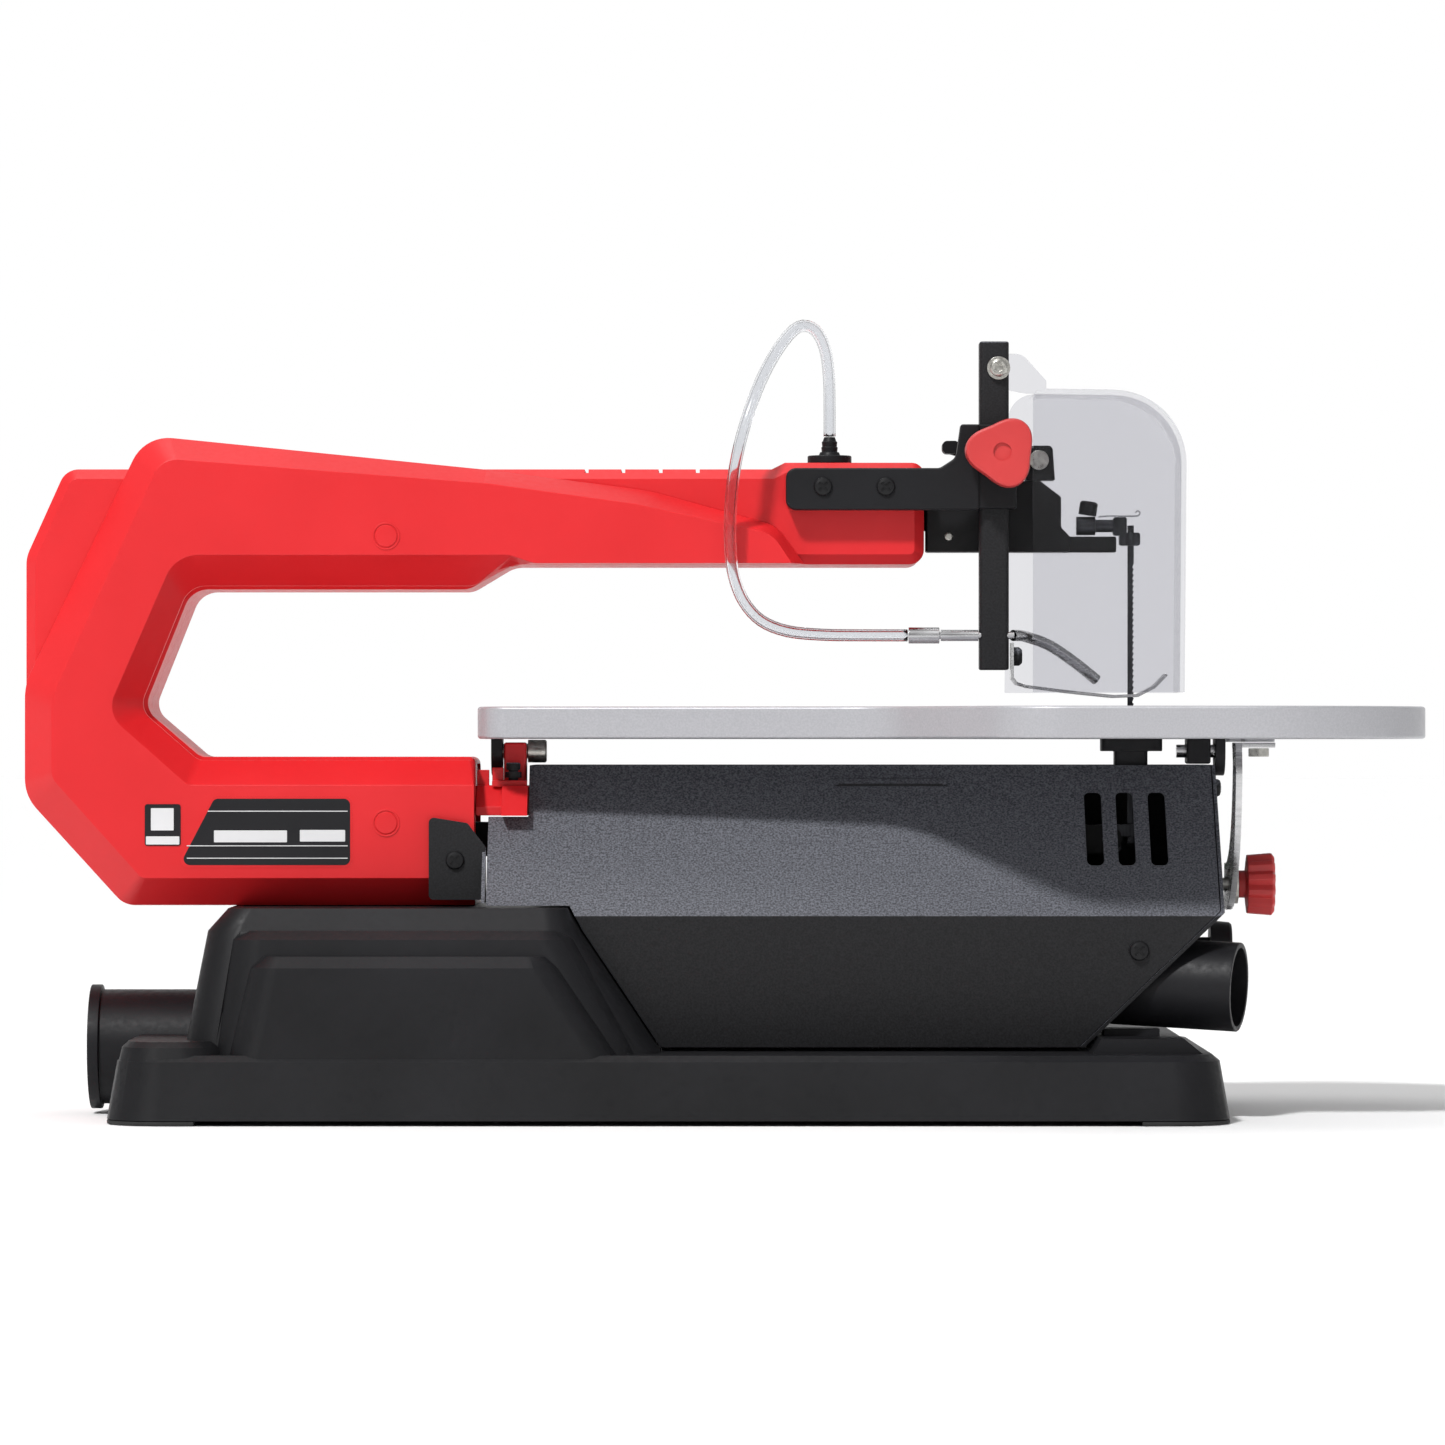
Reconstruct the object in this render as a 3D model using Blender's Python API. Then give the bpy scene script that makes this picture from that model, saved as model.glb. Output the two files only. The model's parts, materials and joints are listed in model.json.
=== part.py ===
"""A parallel-arm scroll saw, modelled as its separate pieces.

Frame: +X points to the operator and the blade, +Y to the motor side, +Z up, and Z = 0 is the floor
under the rubber feet. Every length below is in millimetres, and goes into the meshes in metres.
"""

import math

import bmesh
import bpy
from mathutils import Vector

MM = 0.001
GAP = 0.3  # clearance between pieces that touch in reality

# driving dimensions of the whole saw
BLADE_X = 167.3
TILT_Z = 148.0  # height of the table's tilt axis, which runs along X at y = 0
TABLE_TOP = 166.0
TABLE_UNDER = 162.0
RIM_BOTTOM = 153.0
TABLE_HALF = 125.0
DECK_Z = 27.5
BASE_UNDER = 1.9
BASE_INSIDE = ((-236, -101), (193, 101))
HUMP_Z = 85.2
PIVOT_X = -232.0  # both rocker arms turn about this line
LINK_X = -254.0
UPPER_Z = 238.0
LOWER_Z = 112.0
CRANK_X = 25.0
CRANK_Z = 70.0
CRANK_THROW = 6.9
PIN_SPACING = 127.0  # five-inch pinned blade
UPPER_PIN_Z = 238.9
LOWER_PIN_Z = UPPER_PIN_Z - PIN_SPACING
WALL = 2.8  # moulded housing wall
CHAMFER = 4.0  # sloped edge around both outer faces of the housing
SHEET = 1.5  # pressed steel panel
SHELL_LEFT = -26.0
SHELL_RIGHT = 40.0
COVER_FACE = -42.6
ARM_UNDER = 224.0
COLUMN_X = (104.3, 116.2)
COLUMN_Y = (-32.0, -18.0)
GUARD_PIVOT = (112.0, 303.4)
NOZZLE_Y = -29.6  # beside the housing, so that it clears the arm as the column rises
NOZZLE_Z = 195.0
STUD_DROP = 54.5  # tilt clamp stud below the tilt axis
STUD_Z = TILT_Z - STUD_DROP
PANEL_TOP = (-10.0, 142.4)
PANEL_FOLD = (-70.0, 82.0)
PANEL_FOOT = (-62.0, 29.0)
PANEL_RIGHT = 58.0
FRONT_X = 199.5
DUST_DIRECTION = (math.cos(math.radians(16)), -math.sin(math.radians(16)), -0.05)
DUST_LENGTH = 52
DUST_START = Vector((208, -54, 53)) - Vector(DUST_DIRECTION).normalized() * DUST_LENGTH

# piece colours: red, green, blue, roughness, metallic
RED = ("moulded_red", (0.72, 0.025, 0.03), 0.35, 0.0)
DARK_RED = ("knob_red", (0.55, 0.03, 0.03), 0.4, 0.0)
BLACK = ("moulded_black", (0.012, 0.012, 0.013), 0.5, 0.0)
SHEET_BLACK = ("painted_black", (0.02, 0.02, 0.022), 0.45, 0.3)
SILVER = ("table_silver", (0.5, 0.5, 0.52), 0.45, 0.6)
STEEL = ("bright_steel", (0.6, 0.6, 0.62), 0.25, 1.0)
ZINC = ("zinc_steel", (0.5, 0.49, 0.46), 0.35, 1.0)
RUBBER = ("rubber_black", (0.01, 0.01, 0.01), 0.8, 0.0)
CLEAR = ("clear_plastic", (0.7, 0.71, 0.73), 0.1, 0.0)
GREEN = ("button_green", (0.02, 0.25, 0.06), 0.4, 0.0)

PLANES = {"X": (1, 2, 0), "Y": (0, 2, 1), "Z": (0, 1, 2)}


# ---------------------------------------------------------------- tools


def clear_scene():
    for old in list(bpy.data.objects):
        bpy.data.objects.remove(old, do_unlink=True)


def material(finish):
    name, colour, roughness, metallic = finish
    found = bpy.data.materials.get(name)
    if found:
        return found
    made = bpy.data.materials.new(name)
    made.use_nodes = True
    shader = made.node_tree.nodes["Principled BSDF"]
    shader.inputs["Base Color"].default_value = (*colour, 1.0)
    shader.inputs["Roughness"].default_value = roughness
    shader.inputs["Metallic"].default_value = metallic
    return made


def at(axis, u, v, w):
    """A point in metres from two coordinates in the plane across an axis and one along it."""
    point = Vector((0.0, 0.0, 0.0))
    for index, value in zip(PLANES[axis], (u, v, w)):
        point[index] = value * MM
    return point


def rounded(corners, steps=3):
    """An outline's points, from corners (u, v, radius) or (u, v)."""
    points = []
    count = len(corners)
    for i, corner in enumerate(corners):
        here = Vector(corner[:2])
        radius = corner[2] if len(corner) > 2 else 0
        if radius == 0:
            points.append(tuple(here))
            continue
        back = (Vector(corners[i - 1][:2]) - here).normalized()
        ahead = (Vector(corners[(i + 1) % count][:2]) - here).normalized()
        half = back.angle(ahead) / 2
        centre = here + (back + ahead).normalized() * (radius / math.sin(half))
        start = here + back * (radius / math.tan(half)) - centre
        end = here + ahead * (radius / math.tan(half)) - centre
        first = math.atan2(start.y, start.x)
        sweep = math.atan2(end.y, end.x) - first
        sweep = (sweep + math.pi) % (2 * math.pi) - math.pi
        for step in range(steps + 1):
            angle = first + sweep * step / steps
            points.append((centre.x + radius * math.cos(angle), centre.y + radius * math.sin(angle)))
    return points


def arc(centre, radius, start, end, steps):
    """Points on an arc, its angles in degrees."""
    points = []
    for step in range(steps + 1):
        angle = math.radians(start + (end - start) * step / steps)
        points.append((centre[0] + radius * math.cos(angle), centre[1] + radius * math.sin(angle)))
    return points


def rectangle(low, high, radius=0):
    return [
        (low[0], low[1], radius),
        (high[0], low[1], radius),
        (high[0], high[1], radius),
        (low[0], high[1], radius),
    ]


def add(name, bm, finish):
    """The finished object, with its origin in its middle."""
    bmesh.ops.recalc_face_normals(bm, faces=bm.faces)
    spots = [v.co.copy() for v in bm.verts]
    low = Vector([min(p[i] for p in spots) for i in range(3)])
    high = Vector([max(p[i] for p in spots) for i in range(3)])
    middle = (low + high) / 2
    bmesh.ops.translate(bm, verts=bm.verts, vec=-middle)
    mesh = bpy.data.meshes.new(name)
    bm.to_mesh(mesh)
    bm.free()
    mesh.materials.append(material(finish))
    made = bpy.data.objects.new(name, mesh)
    made.location = middle
    bpy.context.scene.collection.objects.link(made)
    return made


def loft(name, rings, finish, closed=False):
    """A solid through rings of equal length, capped at both ends unless closed on itself."""
    bm = bmesh.new()
    rows = [[bm.verts.new(point) for point in ring] for ring in rings]
    pairs = list(zip(rows, rows[1:]))
    if closed:
        pairs.append((rows[-1], rows[0]))
    else:
        bm.faces.new(rows[0])
        bm.faces.new(rows[-1])
    count = len(rows[0])
    for low, high in pairs:
        for i in range(count):
            j = (i + 1) % count
            bm.faces.new((low[i], low[j], high[j], high[i]))
    return add(name, bm, finish)


def prism(name, outline, axis, low, high, finish):
    rings = [[at(axis, u, v, w) for u, v in outline] for w in (low, high)]
    return loft(name, rings, finish)


def block(name, low, high, finish):
    return prism(name, rounded(rectangle(low[:2], high[:2])), "Z", low[2], high[2], finish)


def turned(name, profile, centre, direction, finish, sides=24, hollow=False):
    """A turned piece from (radius, distance along the axis); a hollow one's profile is a loop."""
    turn = Vector((0, 0, 1)).rotation_difference(Vector(direction)).to_matrix()
    rings = []
    for radius, along in profile:
        ring = []
        for side in range(sides):
            angle = 2 * math.pi * (side + 0.5) / sides
            spot = Vector((radius * math.cos(angle), radius * math.sin(angle), along))
            ring.append((turn @ spot + Vector(centre)) * MM)
        rings.append(ring)
    return loft(name, rings, finish, closed=hollow)


def pipe(name, outer, inner, length, centre, direction, finish, sides=28):
    profile = [(outer, 0), (outer, length), (inner, length), (inner, 0)]
    return turned(name, profile, centre, direction, finish, sides, hollow=True)


def bake(piece):
    """Put a piece's modifiers into its mesh."""
    bpy.context.view_layer.update()
    graph = bpy.context.evaluated_depsgraph_get()
    mesh = bpy.data.meshes.new_from_object(piece.evaluated_get(graph))
    piece.modifiers.clear()
    piece.data = mesh


def combine(piece, tool, operation):
    """Union, difference or intersection with a tool, which is used up."""
    modifier = piece.modifiers.new(operation.lower(), "BOOLEAN")
    modifier.operation = operation
    modifier.object = tool
    bake(piece)
    bpy.data.objects.remove(tool, do_unlink=True)
    return piece


def cut(piece, *tools):
    for tool in tools:
        combine(piece, tool, "DIFFERENCE")
    return piece


def join(piece, *tools):
    for tool in tools:
        combine(piece, tool, "UNION")
    return piece


def drill(piece, centre, direction, radius, length, sides=16):
    start = Vector(centre) - Vector(direction).normalized() * length / 2
    hole = turned("drill", [(radius, 0), (radius, length)], start, direction, BLACK, sides)
    return cut(piece, hole)


def soften(piece, width, segments=1, angle=40):
    modifier = piece.modifiers.new("edges", "BEVEL")
    modifier.width = width * MM
    modifier.segments = segments
    modifier.limit_method = "ANGLE"
    modifier.angle_limit = math.radians(angle)
    bake(piece)
    return piece


def pivot(name, x, y, z):
    empty = bpy.data.objects.new(name, None)
    empty.location = Vector((x, y, z)) * MM
    bpy.context.scene.collection.objects.link(empty)
    return empty


def hang(parent, *pieces):
    """Parent pieces to an empty on their joint's axis, where they are."""
    bpy.context.view_layer.update()
    for piece in pieces:
        piece.parent = parent
        piece.matrix_parent_inverse = parent.matrix_world.inverted()


# ---------------------------------------------------------------- base


# rising levels of each drafted block on the base: two opposite corners, corner radius, height
HUMP = (
    ((-216, -92), (-22, 92), 16, DECK_Z - 4),
    ((-206, -84), (-57, 84), 14, HUMP_Z - 9),
    ((-198, -78), (-62, 78), 10, HUMP_Z),
)
SHOULDER = (
    ((-205, -98), (-30, 98), 16, DECK_Z - 4),
    ((-197, -91), (-59, 91), 14, 73),
    ((-192, -86), (-64, 86), 10, 76.5),
)
BULGE = (
    ((-198, -105), (-37, 105), 14, 22),
    ((-188, -101), (-65, 101), 12, 62),
    ((-183, -97), (-70, 97), 8, 66.5),
)
REAR_STEP = (
    ((-241, -105.5), (-196, 105.5), 18, 22),
    ((-239, -103.5), (-200, 103.5), 16, 30.5),
    ((-236.5, -101), (-203, 101), 14, 32.8),
)


def drafted(name, levels, shrink=0):
    """A block with sloping sides, or the hollow below it with walls of the shrunk distance."""
    rings = []
    for number, (low, high, radius, height) in enumerate(levels):
        outline = rounded(moved_in(rectangle(low, high, radius), shrink))
        if shrink:
            height = height - shrink if number else 10
        rings.append([at("Z", u, v, height) for u, v in outline])
    return loft(name, rings, BLACK)


def base_outline():
    return rectangle((-245, -110), (202, 110), 22)


def make_base():
    low = rounded(base_outline(), 4)
    high = rounded(rectangle((-241, -106), (198, 106), 20), 4)
    rim = rounded(rectangle((-238, -103), (195, 103), 18), 4)
    levels = ((low, BASE_UNDER), (high, DECK_Z - 2.5), (rim, DECK_Z))
    base = loft("base", [[at("Z", u, v, w) for u, v in ring] for ring, w in levels], BLACK)
    for number, levels in enumerate((HUMP, SHOULDER, BULGE, REAR_STEP)):
        join(base, drafted(f"block_{number}", levels))
    hollow = prism("hollow", rounded(rectangle(*BASE_INSIDE, 16)), "Z", 0, DECK_Z - 4, BLACK)
    cut(base, hollow)
    for number, levels in enumerate((HUMP, SHOULDER, BULGE)):
        cut(base, drafted(f"inside_{number}", levels, 4))
    saddle = turned("saddle", [(24.2, 0), (24.2, 70)], (-270, 0, 27), (1, 0, 0), BLACK)
    cut(base, saddle)
    step = [(147, DECK_Z - 1), (150.8, 33.4), (184, 33.4), (192.5, DECK_Z - 1)]
    join(base, prism("front_step", step, "Y", -86, 86, BLACK))
    return join(base, block("dust_pipe_support", (153.6, -54, 33), (176, -36, 36.2), BLACK))


def make_feet():
    """Rubber corner pieces under the base's rim, each with a plug inside the rim."""
    corners = [(x, y) for x in (-1, 1) for y in (-1, 1)]
    for number, (x, y) in enumerate(corners, 1):
        sides = ((-300, -209) if x < 0 else (166, 300), (-300, -76) if y < 0 else (76, 300))
        low, high = zip(*sides)
        foot = prism(f"foot_{number}", rounded(base_outline(), 4), "Z", 0, BASE_UNDER - GAP, RUBBER)
        plug = prism("plug", rounded(moved_in(rectangle(*BASE_INSIDE, 16), GAP)), "Z", 1, 9, RUBBER)
        join(foot, plug)
        combine(foot, block("corner", (*low, -1), (*high, 12), RUBBER), "INTERSECT")


def make_dust_pipes():
    profile = [(23.4, 0), (23.4, 41), (25.4, 41), (25.4, 45.5), (21, 45.5), (21, 0)]
    turned("rear_dust_pipe", profile, (-213, 0, 27), (-1, 0, 0), BLACK, 32, hollow=True)
    pipe("front_dust_pipe", 18, 15.8, DUST_LENGTH, DUST_START, DUST_DIRECTION, BLACK)


# ---------------------------------------------------------------- body panels


def side_outline():
    """The body seen from the side, which trims both side panels."""
    return [
        (-95, 160),
        (-95, 86),
        (-61.4, 86),
        (-56.2, 76.2),
        (-24.9, 29),
        (143, 29),
        (FRONT_X, 84),
        (FRONT_X, 160),
    ]


def folded(points, thickness):
    """A folded sheet's section: the points, and the same moved inwards by the thickness."""
    inner = []
    for i, point in enumerate(points):
        here = Vector(point)
        sides = []
        for a, b in ((i - 1, i), (i, i + 1)):
            if 0 <= a and b < len(points):
                run = (Vector(points[b]) - Vector(points[a])).normalized()
                sides.append(Vector((-run.y, run.x)))
        normal = sum(sides, Vector((0, 0))) / len(sides)
        inner.append(tuple(here + normal * (thickness / normal.length_squared)))
    return list(points) + inner[::-1]


def make_left_panel():
    section = folded([PANEL_TOP, PANEL_FOLD, PANEL_FOOT], SHEET)
    panel = prism("left_side_panel", section, "X", -110, 210, SHEET_BLACK)
    combine(panel, prism("trim", side_outline(), "Y", -90, 20, BLACK), "INTERSECT")
    cut(panel, block("ledge_gap", (-120, -60, 121.4), (-78.8, 0, 160), BLACK))
    for x in (150.5, 163.3, 176.4):
        slot = rounded(rectangle((x - 3.4, 102), (x + 3.4, 131), 2))
        cut(panel, prism("slot", slot, "Y", -75, 0, BLACK))
    clear = turned("clear", [(18.4, 0), (18.4, 90)], DUST_START, DUST_DIRECTION, BLACK)
    cut(panel, clear)
    return panel


def make_right_panel():
    corners = [(-8.3, PANEL_TOP[1]), (PANEL_RIGHT, PANEL_TOP[1]), (PANEL_RIGHT, 29)]
    section = folded(corners, -SHEET)
    panel = prism("right_side_panel", section, "X", -78, 210, SHEET_BLACK)
    combine(panel, prism("trim", side_outline(), "Y", -20, 90, BLACK), "INTERSECT")
    cut(panel, block("blade_gap", (150, -12, 130), (184, 12, 150), BLACK))
    drill(panel, (CRANK_X, PANEL_RIGHT, CRANK_Z), (0, 1, 0), 6, 20)
    return panel


def make_front_panel():
    """The front wall, with its lower part sloped back to the deck."""
    profile = folded([(143.2, 29), (FRONT_X + GAP, 84), (FRONT_X + GAP, 142.4)], -SHEET)
    panel = prism("front_panel", profile, "Y", -90, 90, SHEET_BLACK)
    section = [
        (PANEL_TOP[0], PANEL_TOP[1]),
        PANEL_FOLD,
        PANEL_FOOT,
        (PANEL_RIGHT, 29),
        (PANEL_RIGHT, PANEL_TOP[1]),
    ]
    combine(panel, prism("trim", section, "X", 100, 230, BLACK), "INTERSECT")
    clear = turned("clear", [(18.4, 0), (18.4, 90)], DUST_START, DUST_DIRECTION, BLACK)
    cut(panel, clear)
    drill(panel, (FRONT_X, 0, STUD_Z), (1, 0, 0), 3.4, 20)
    for z in (105, 121):
        drill(panel, (FRONT_X, 42, z), (1, 0, 0), 6.6, 20)
    drill(panel, (FRONT_X, 30, 68), (1, 0, 0), 3.3, 20)
    return panel


def make_rear_flange():
    """The black tab that laps over the red housing, turned out of the body's rear wall."""
    flange = prism("rear_flange", rounded([(-45, 87), (-45, 109), (-63, 87)]), "X", -97, -95.5, SHEET_BLACK)
    tab = rounded([(-118.6, 88, 2), (-95.8, 88), (-95.8, 109.5), (-103, 119, 2), (-118.6, 121.5, 2)])
    join(flange, prism("tab", tab, "Y", -46.4, -44.9, BLACK))
    drill(flange, (-108, -45, 104), (0, 1, 0), 2.3, 10)
    return flange


def screw(name, centre, direction, radius, height, finish=ZINC):
    """A pan-head screw's head with its socket."""
    profile = [(radius, -1.2), (radius, height * 0.5), (radius * 0.7, height)]
    head = turned(name, profile, centre, direction, finish, 16)
    middle = Vector(centre) + Vector(direction).normalized() * height
    drill(head, middle, direction, radius * 0.42, height, 6)
    return head


# ---------------------------------------------------------------- frame housing


def cover_corners():
    """Each corner of the left cover: its outline, then the same corner of the flat face."""
    return [
        ((-100.4, 85.5, 0), (-100.4, 96.7, 0)),
        ((-242.9, 85.5, 10), (-234.8, 96.7, 4)),
        ((-283.3, 129.8, 18), (-271.2, 137.2, 8)),
        ((-283.3, 175.2, 25), (-271.2, 169.9, 28)),
        ((-234.6, 276.3, 16), (-226.8, 266.5, 10)),
        ((-95, 262.2, 60), (-95, 256.3, 60)),
        ((-30, 253.8, 90), (-35, 248, 90)),
        ((22, 239.5, 14), (20, 236, 12)),
        ((33.3, ARM_UNDER, 0), (28.1, ARM_UNDER, 0)),
        ((-84, ARM_UNDER, 12), (-76, ARM_UNDER, 6)),
        ((-101, 215.1, 10), (-86, 227.4, 6)),
        ((-216.6, 215.1, 10), (-221.1, 227.4, 14)),
        ((-236.8, 165.3, 8), (-249, 163.4, 11)),
        ((-212.9, 144.4, 6), (-216, 134.3, 4)),
        ((-100.4, 144.4, 3), (-100.4, 134.3, 0.5)),
    ]


def moved_in(corners, distance, open_ends=()):
    """Corners moved inwards by a wall thickness; those named keep their place along X."""
    count = len(corners)
    area = 0
    for i in range(count):
        a, b = corners[i - 1], corners[i]
        area += a[0] * b[1] - b[0] * a[1]
    side = 1 if area > 0 else -1
    out = []
    for i, corner in enumerate(corners):
        here = Vector(corner[:2])
        back = (here - Vector(corners[i - 1][:2])).normalized()
        ahead = (Vector(corners[(i + 1) % count][:2]) - here).normalized()
        normal = Vector((-back.y, back.x)) + Vector((-ahead.y, ahead.x))
        shift = normal * (side * distance * 2 / normal.length_squared)
        radius = corner[2] if len(corner) > 2 else 0
        turning = side * (back.x * ahead.y - back.y * ahead.x)
        radius = radius - distance if turning > 0 else radius + distance * (radius > 0)
        moved = here + shift
        out.append((moved.x, moved.y, max(radius, 0.5) if corner[2:] and corner[2] else 0))
    for index, x in open_ends:
        out[index] = (x, *out[index][1:])
    return out


def make_left_cover():
    outer = [pair[0] for pair in cover_corners()]
    face = [pair[1] for pair in cover_corners()]
    last = len(outer) - 1
    ends = ((0, -97.0), (last, -97.0))

    def ring(corners, y):
        return [at("Y", u, v, y) for u, v in rounded(corners)]

    back = SHELL_LEFT - GAP
    rings = [ring(outer, back), ring(outer, back - 2.5), ring(face, COVER_FACE)]
    cover = loft("left_frame_cover", rings, RED)
    inner = moved_in(outer, WALL)
    deep = moved_in(face, 1.4)
    for index, x in ends:
        inner[index] = (x, *inner[index][1:])
        deep[index] = (x, *deep[index][1:])
    hollow = [ring(inner, back + 2), ring(inner, back - 2.5), ring(deep, COVER_FACE + 2.6)]
    cut(cover, loft("hollow", hollow, RED))
    return cover


def shell_corners():
    return [
        (-100.4, 85.5, 0),
        (-242.9, 85.5, 10),
        (-283.3, 129.8, 18),
        (-283.3, 227, 14),
        (-267.2, 262.7, 8),
        (20, 262.7, 0),
        (25.4, 265.4, 0),
        (82, 265.4, 5),
        (82, ARM_UNDER, 6),
        (-86, ARM_UNDER, 12),
        (-103, 213.8, 10),
        (-216, 213.8, 10),
        (-235.3, 165.4, 8),
        (-212.4, 145.7, 6),
        (-100.4, 145.7, 3),
    ]


def make_shell(name, low, high, wall_at_low):
    """Half of the housing: a side wall and the wall around its edge, open at the middle."""
    ends = ((0, -100.4), (len(shell_corners()) - 1, -100.4))
    full = rounded(shell_corners())
    face = rounded(moved_in(shell_corners(), CHAMFER, ends))
    side, edge, middle = (low, low + CHAMFER, high) if wall_at_low else (high, high - CHAMFER, low)
    rings = ((face, side), (full, edge), (full, middle))
    shell = loft(name, [[at("Y", u, v, y) for u, v in ring] for ring, y in rings], RED)
    inner = moved_in(shell_corners(), WALL)
    last = len(inner) - 1
    for index in (0, last):
        inner[index] = (-90.0, inner[index][1], 0)
    floor, mouth = (low + WALL, high + 1) if wall_at_low else (low - 1, high - WALL)
    cut(shell, prism("inside", rounded(inner), "Y", floor, mouth, RED))
    ledge_y = (-18, high) if wall_at_low else (low, 14)
    join(shell, block("brow", (-104, ledge_y[0], 125), (-101, ledge_y[1], 144.3), RED))
    join(shell, block("ledge", (-102, ledge_y[0], 125), (-79.1, ledge_y[1], 134), RED))
    if wall_at_low:
        near = [(-16, 134), (-29.5, 134), (-41.5, 121.9), (-16, 121.9)]
        join(shell, prism("near_ledge", near, "X", -89.5, -79.1, RED))
    nose_y = (-10, high + 1) if wall_at_low else (low - 1, 10)
    cut(shell, block("nose_gap", (76, nose_y[0], 228.5), (90, nose_y[1], 261), RED))
    return shell


def add_grip_ridges(shell, low, high):
    """Shallow grooves across the top of the arm."""
    for x in (-55.3, -40.4, -25.2, -10.1):
        cut(shell, block("groove", (x - 0.8, low - 1, 261.2), (x + 0.8, high + 1, 264), RED))


def make_housing():
    left = make_shell("left_frame_shell", SHELL_LEFT, -GAP / 2, True)
    right = make_shell("right_frame_shell", GAP / 2, SHELL_RIGHT, False)
    add_grip_ridges(left, SHELL_LEFT, 0)
    add_grip_ridges(right, 0, SHELL_RIGHT)
    drill(left, (43.7, -12, 265), (0, 0, 1), 3.3, 12)
    make_left_cover()
    post = block("rear_trunnion_post", (-89.4, -8.5, 134.3), (-80.2, 8.5, 151.6), RED)
    soften(post, 1)
    drill(post, (-85, 0, TILT_Z), (1, 0, 0), 3.3, 30)


# ---------------------------------------------------------------- mechanism


def eye(centre, radius, start, end):
    return arc(centre, radius, start, end, 6)


def make_upper_arm():
    outline = (
        [(130, 258.5), (83.2, 258.5), (83.2, 250.5), (-205, 246)]
        + eye((PIVOT_X, UPPER_Z), 11, 60, 120)
        + eye((LINK_X, UPPER_Z), 7, 110, 250)
        + eye((PIVOT_X, UPPER_Z), 11, 240, 300)
        + [(-205, 232), (83.2, 238.5), (83.2, 229.4), (161.3, 229.4), (161.3, 235.9), (142, 235.9)]
        + [(138.5, 239.5), (138.5, 252)]
    )
    arm = prism("upper_arm", outline, "Y", -7.5, 7.5, SHEET_BLACK)
    slim = block("slim", (-300, -5, 200), (83.2, 5, 300), BLACK)
    head = block("head", (83.2, -7.5, 200), (142, 7.5, 300), BLACK)
    tip = block("tip", (142, -3, 200), (170, 3, 300), BLACK)
    join(slim, head, tip)
    combine(arm, slim, "INTERSECT")
    soften(arm, 0.8)
    drill(arm, (PIVOT_X, 0, UPPER_Z), (0, 1, 0), 4.4, 40)
    drill(arm, (LINK_X, 0, UPPER_Z), (0, 1, 0), 3.4, 40)
    return arm


def make_tension_lever():
    block_outline = rounded([(124, 258.9), (136, 258.9), (135, 273, 2), (125.5, 273, 2)])
    fork = prism("tension_block", block_outline, "Y", -7, 7, BLACK)
    cut(fork, block("slot", (100, -2.9, 261), (140, 2.9, 290), BLACK))
    drill(fork, (129.4, 0, 267), (0, 1, 0), 2.4, 30)
    outline = eye((129.4, 267), 4.6, -70, 80) + [(112, 271), (92, 275), (90, 270.5), (112, 264.5)]
    lever = prism("tension_lever", outline, "Y", -2.5, 2.5, BLACK)
    soften(lever, 0.6)
    grip = rounded(rectangle((90, 269.8), (97, 275), 2))
    join(lever, prism("grip", grip, "Y", -6, 6, BLACK))
    drill(lever, (129.4, 0, 267), (0, 1, 0), 2.4, 30)
    pin = turned("tension_lever_pin", [(2, -7.5), (2, 7.6), (4, 7.6), (4, 9.4)], (129.4, 0, 267), (0, -1, 0), ZINC, 16)
    return fork, lever, pin


def make_lower_arm():
    outline = (
        [(120, 119), (-205, 119)]
        + eye((PIVOT_X, LOWER_Z), 10, 60, 120)
        + eye((LINK_X, LOWER_Z), 6, 110, 250)
        + eye((PIVOT_X, LOWER_Z), 10, 240, 300)
        + [(-205, 105), (120, 105)]
        + eye((158, LOWER_Z), 5.5, -90, 90)
    )
    arm = prism("lower_arm", outline, "Y", -7.4, 7.4, SHEET_BLACK)
    slim = block("slim", (-300, -5, 60), (118, 5, 200), BLACK)
    join(slim, block("front", (118, -7.4, 60), (180, 7.4, 200), BLACK))
    combine(arm, slim, "INTERSECT")
    cut(arm, block("fork", (150, -4.4, 80), (200, 4.4, 140), BLACK))
    drill(arm, (158, 0, LOWER_Z), (0, 1, 0), 2.9, 40)
    drill(arm, (PIVOT_X, 0, LOWER_Z), (0, 1, 0), 4.4, 40)
    drill(arm, (LINK_X, 0, LOWER_Z), (0, 1, 0), 3.4, 40)
    drill(arm, (CRANK_X, 0, LOWER_Z), (0, 1, 0), 3.4, 40)
    return arm


def make_rear_link():
    outline = eye((LINK_X, UPPER_Z), 6, 0, 180) + eye((LINK_X, LOWER_Z), 6, 180, 360)
    link = prism("rear_link", outline, "Y", -11.5, -5.4, ZINC)
    for z in (UPPER_Z, LOWER_Z):
        pin = turned("pin", [(3, -6), (3, 6)], (LINK_X, 0, z), (0, 1, 0), ZINC, 16)
        join(link, pin)
    return link


def make_pivot_pins():
    for name, z in (("upper_arm_pivot_pin", UPPER_Z), ("lower_arm_pivot_pin", LOWER_Z)):
        low, high = SHELL_LEFT + WALL + GAP, SHELL_RIGHT - WALL - GAP
        pin = [(4, low), (4, high)]
        turned(name, pin, (PIVOT_X, 0, z), (0, 1, 0), STEEL, 16)


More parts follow.
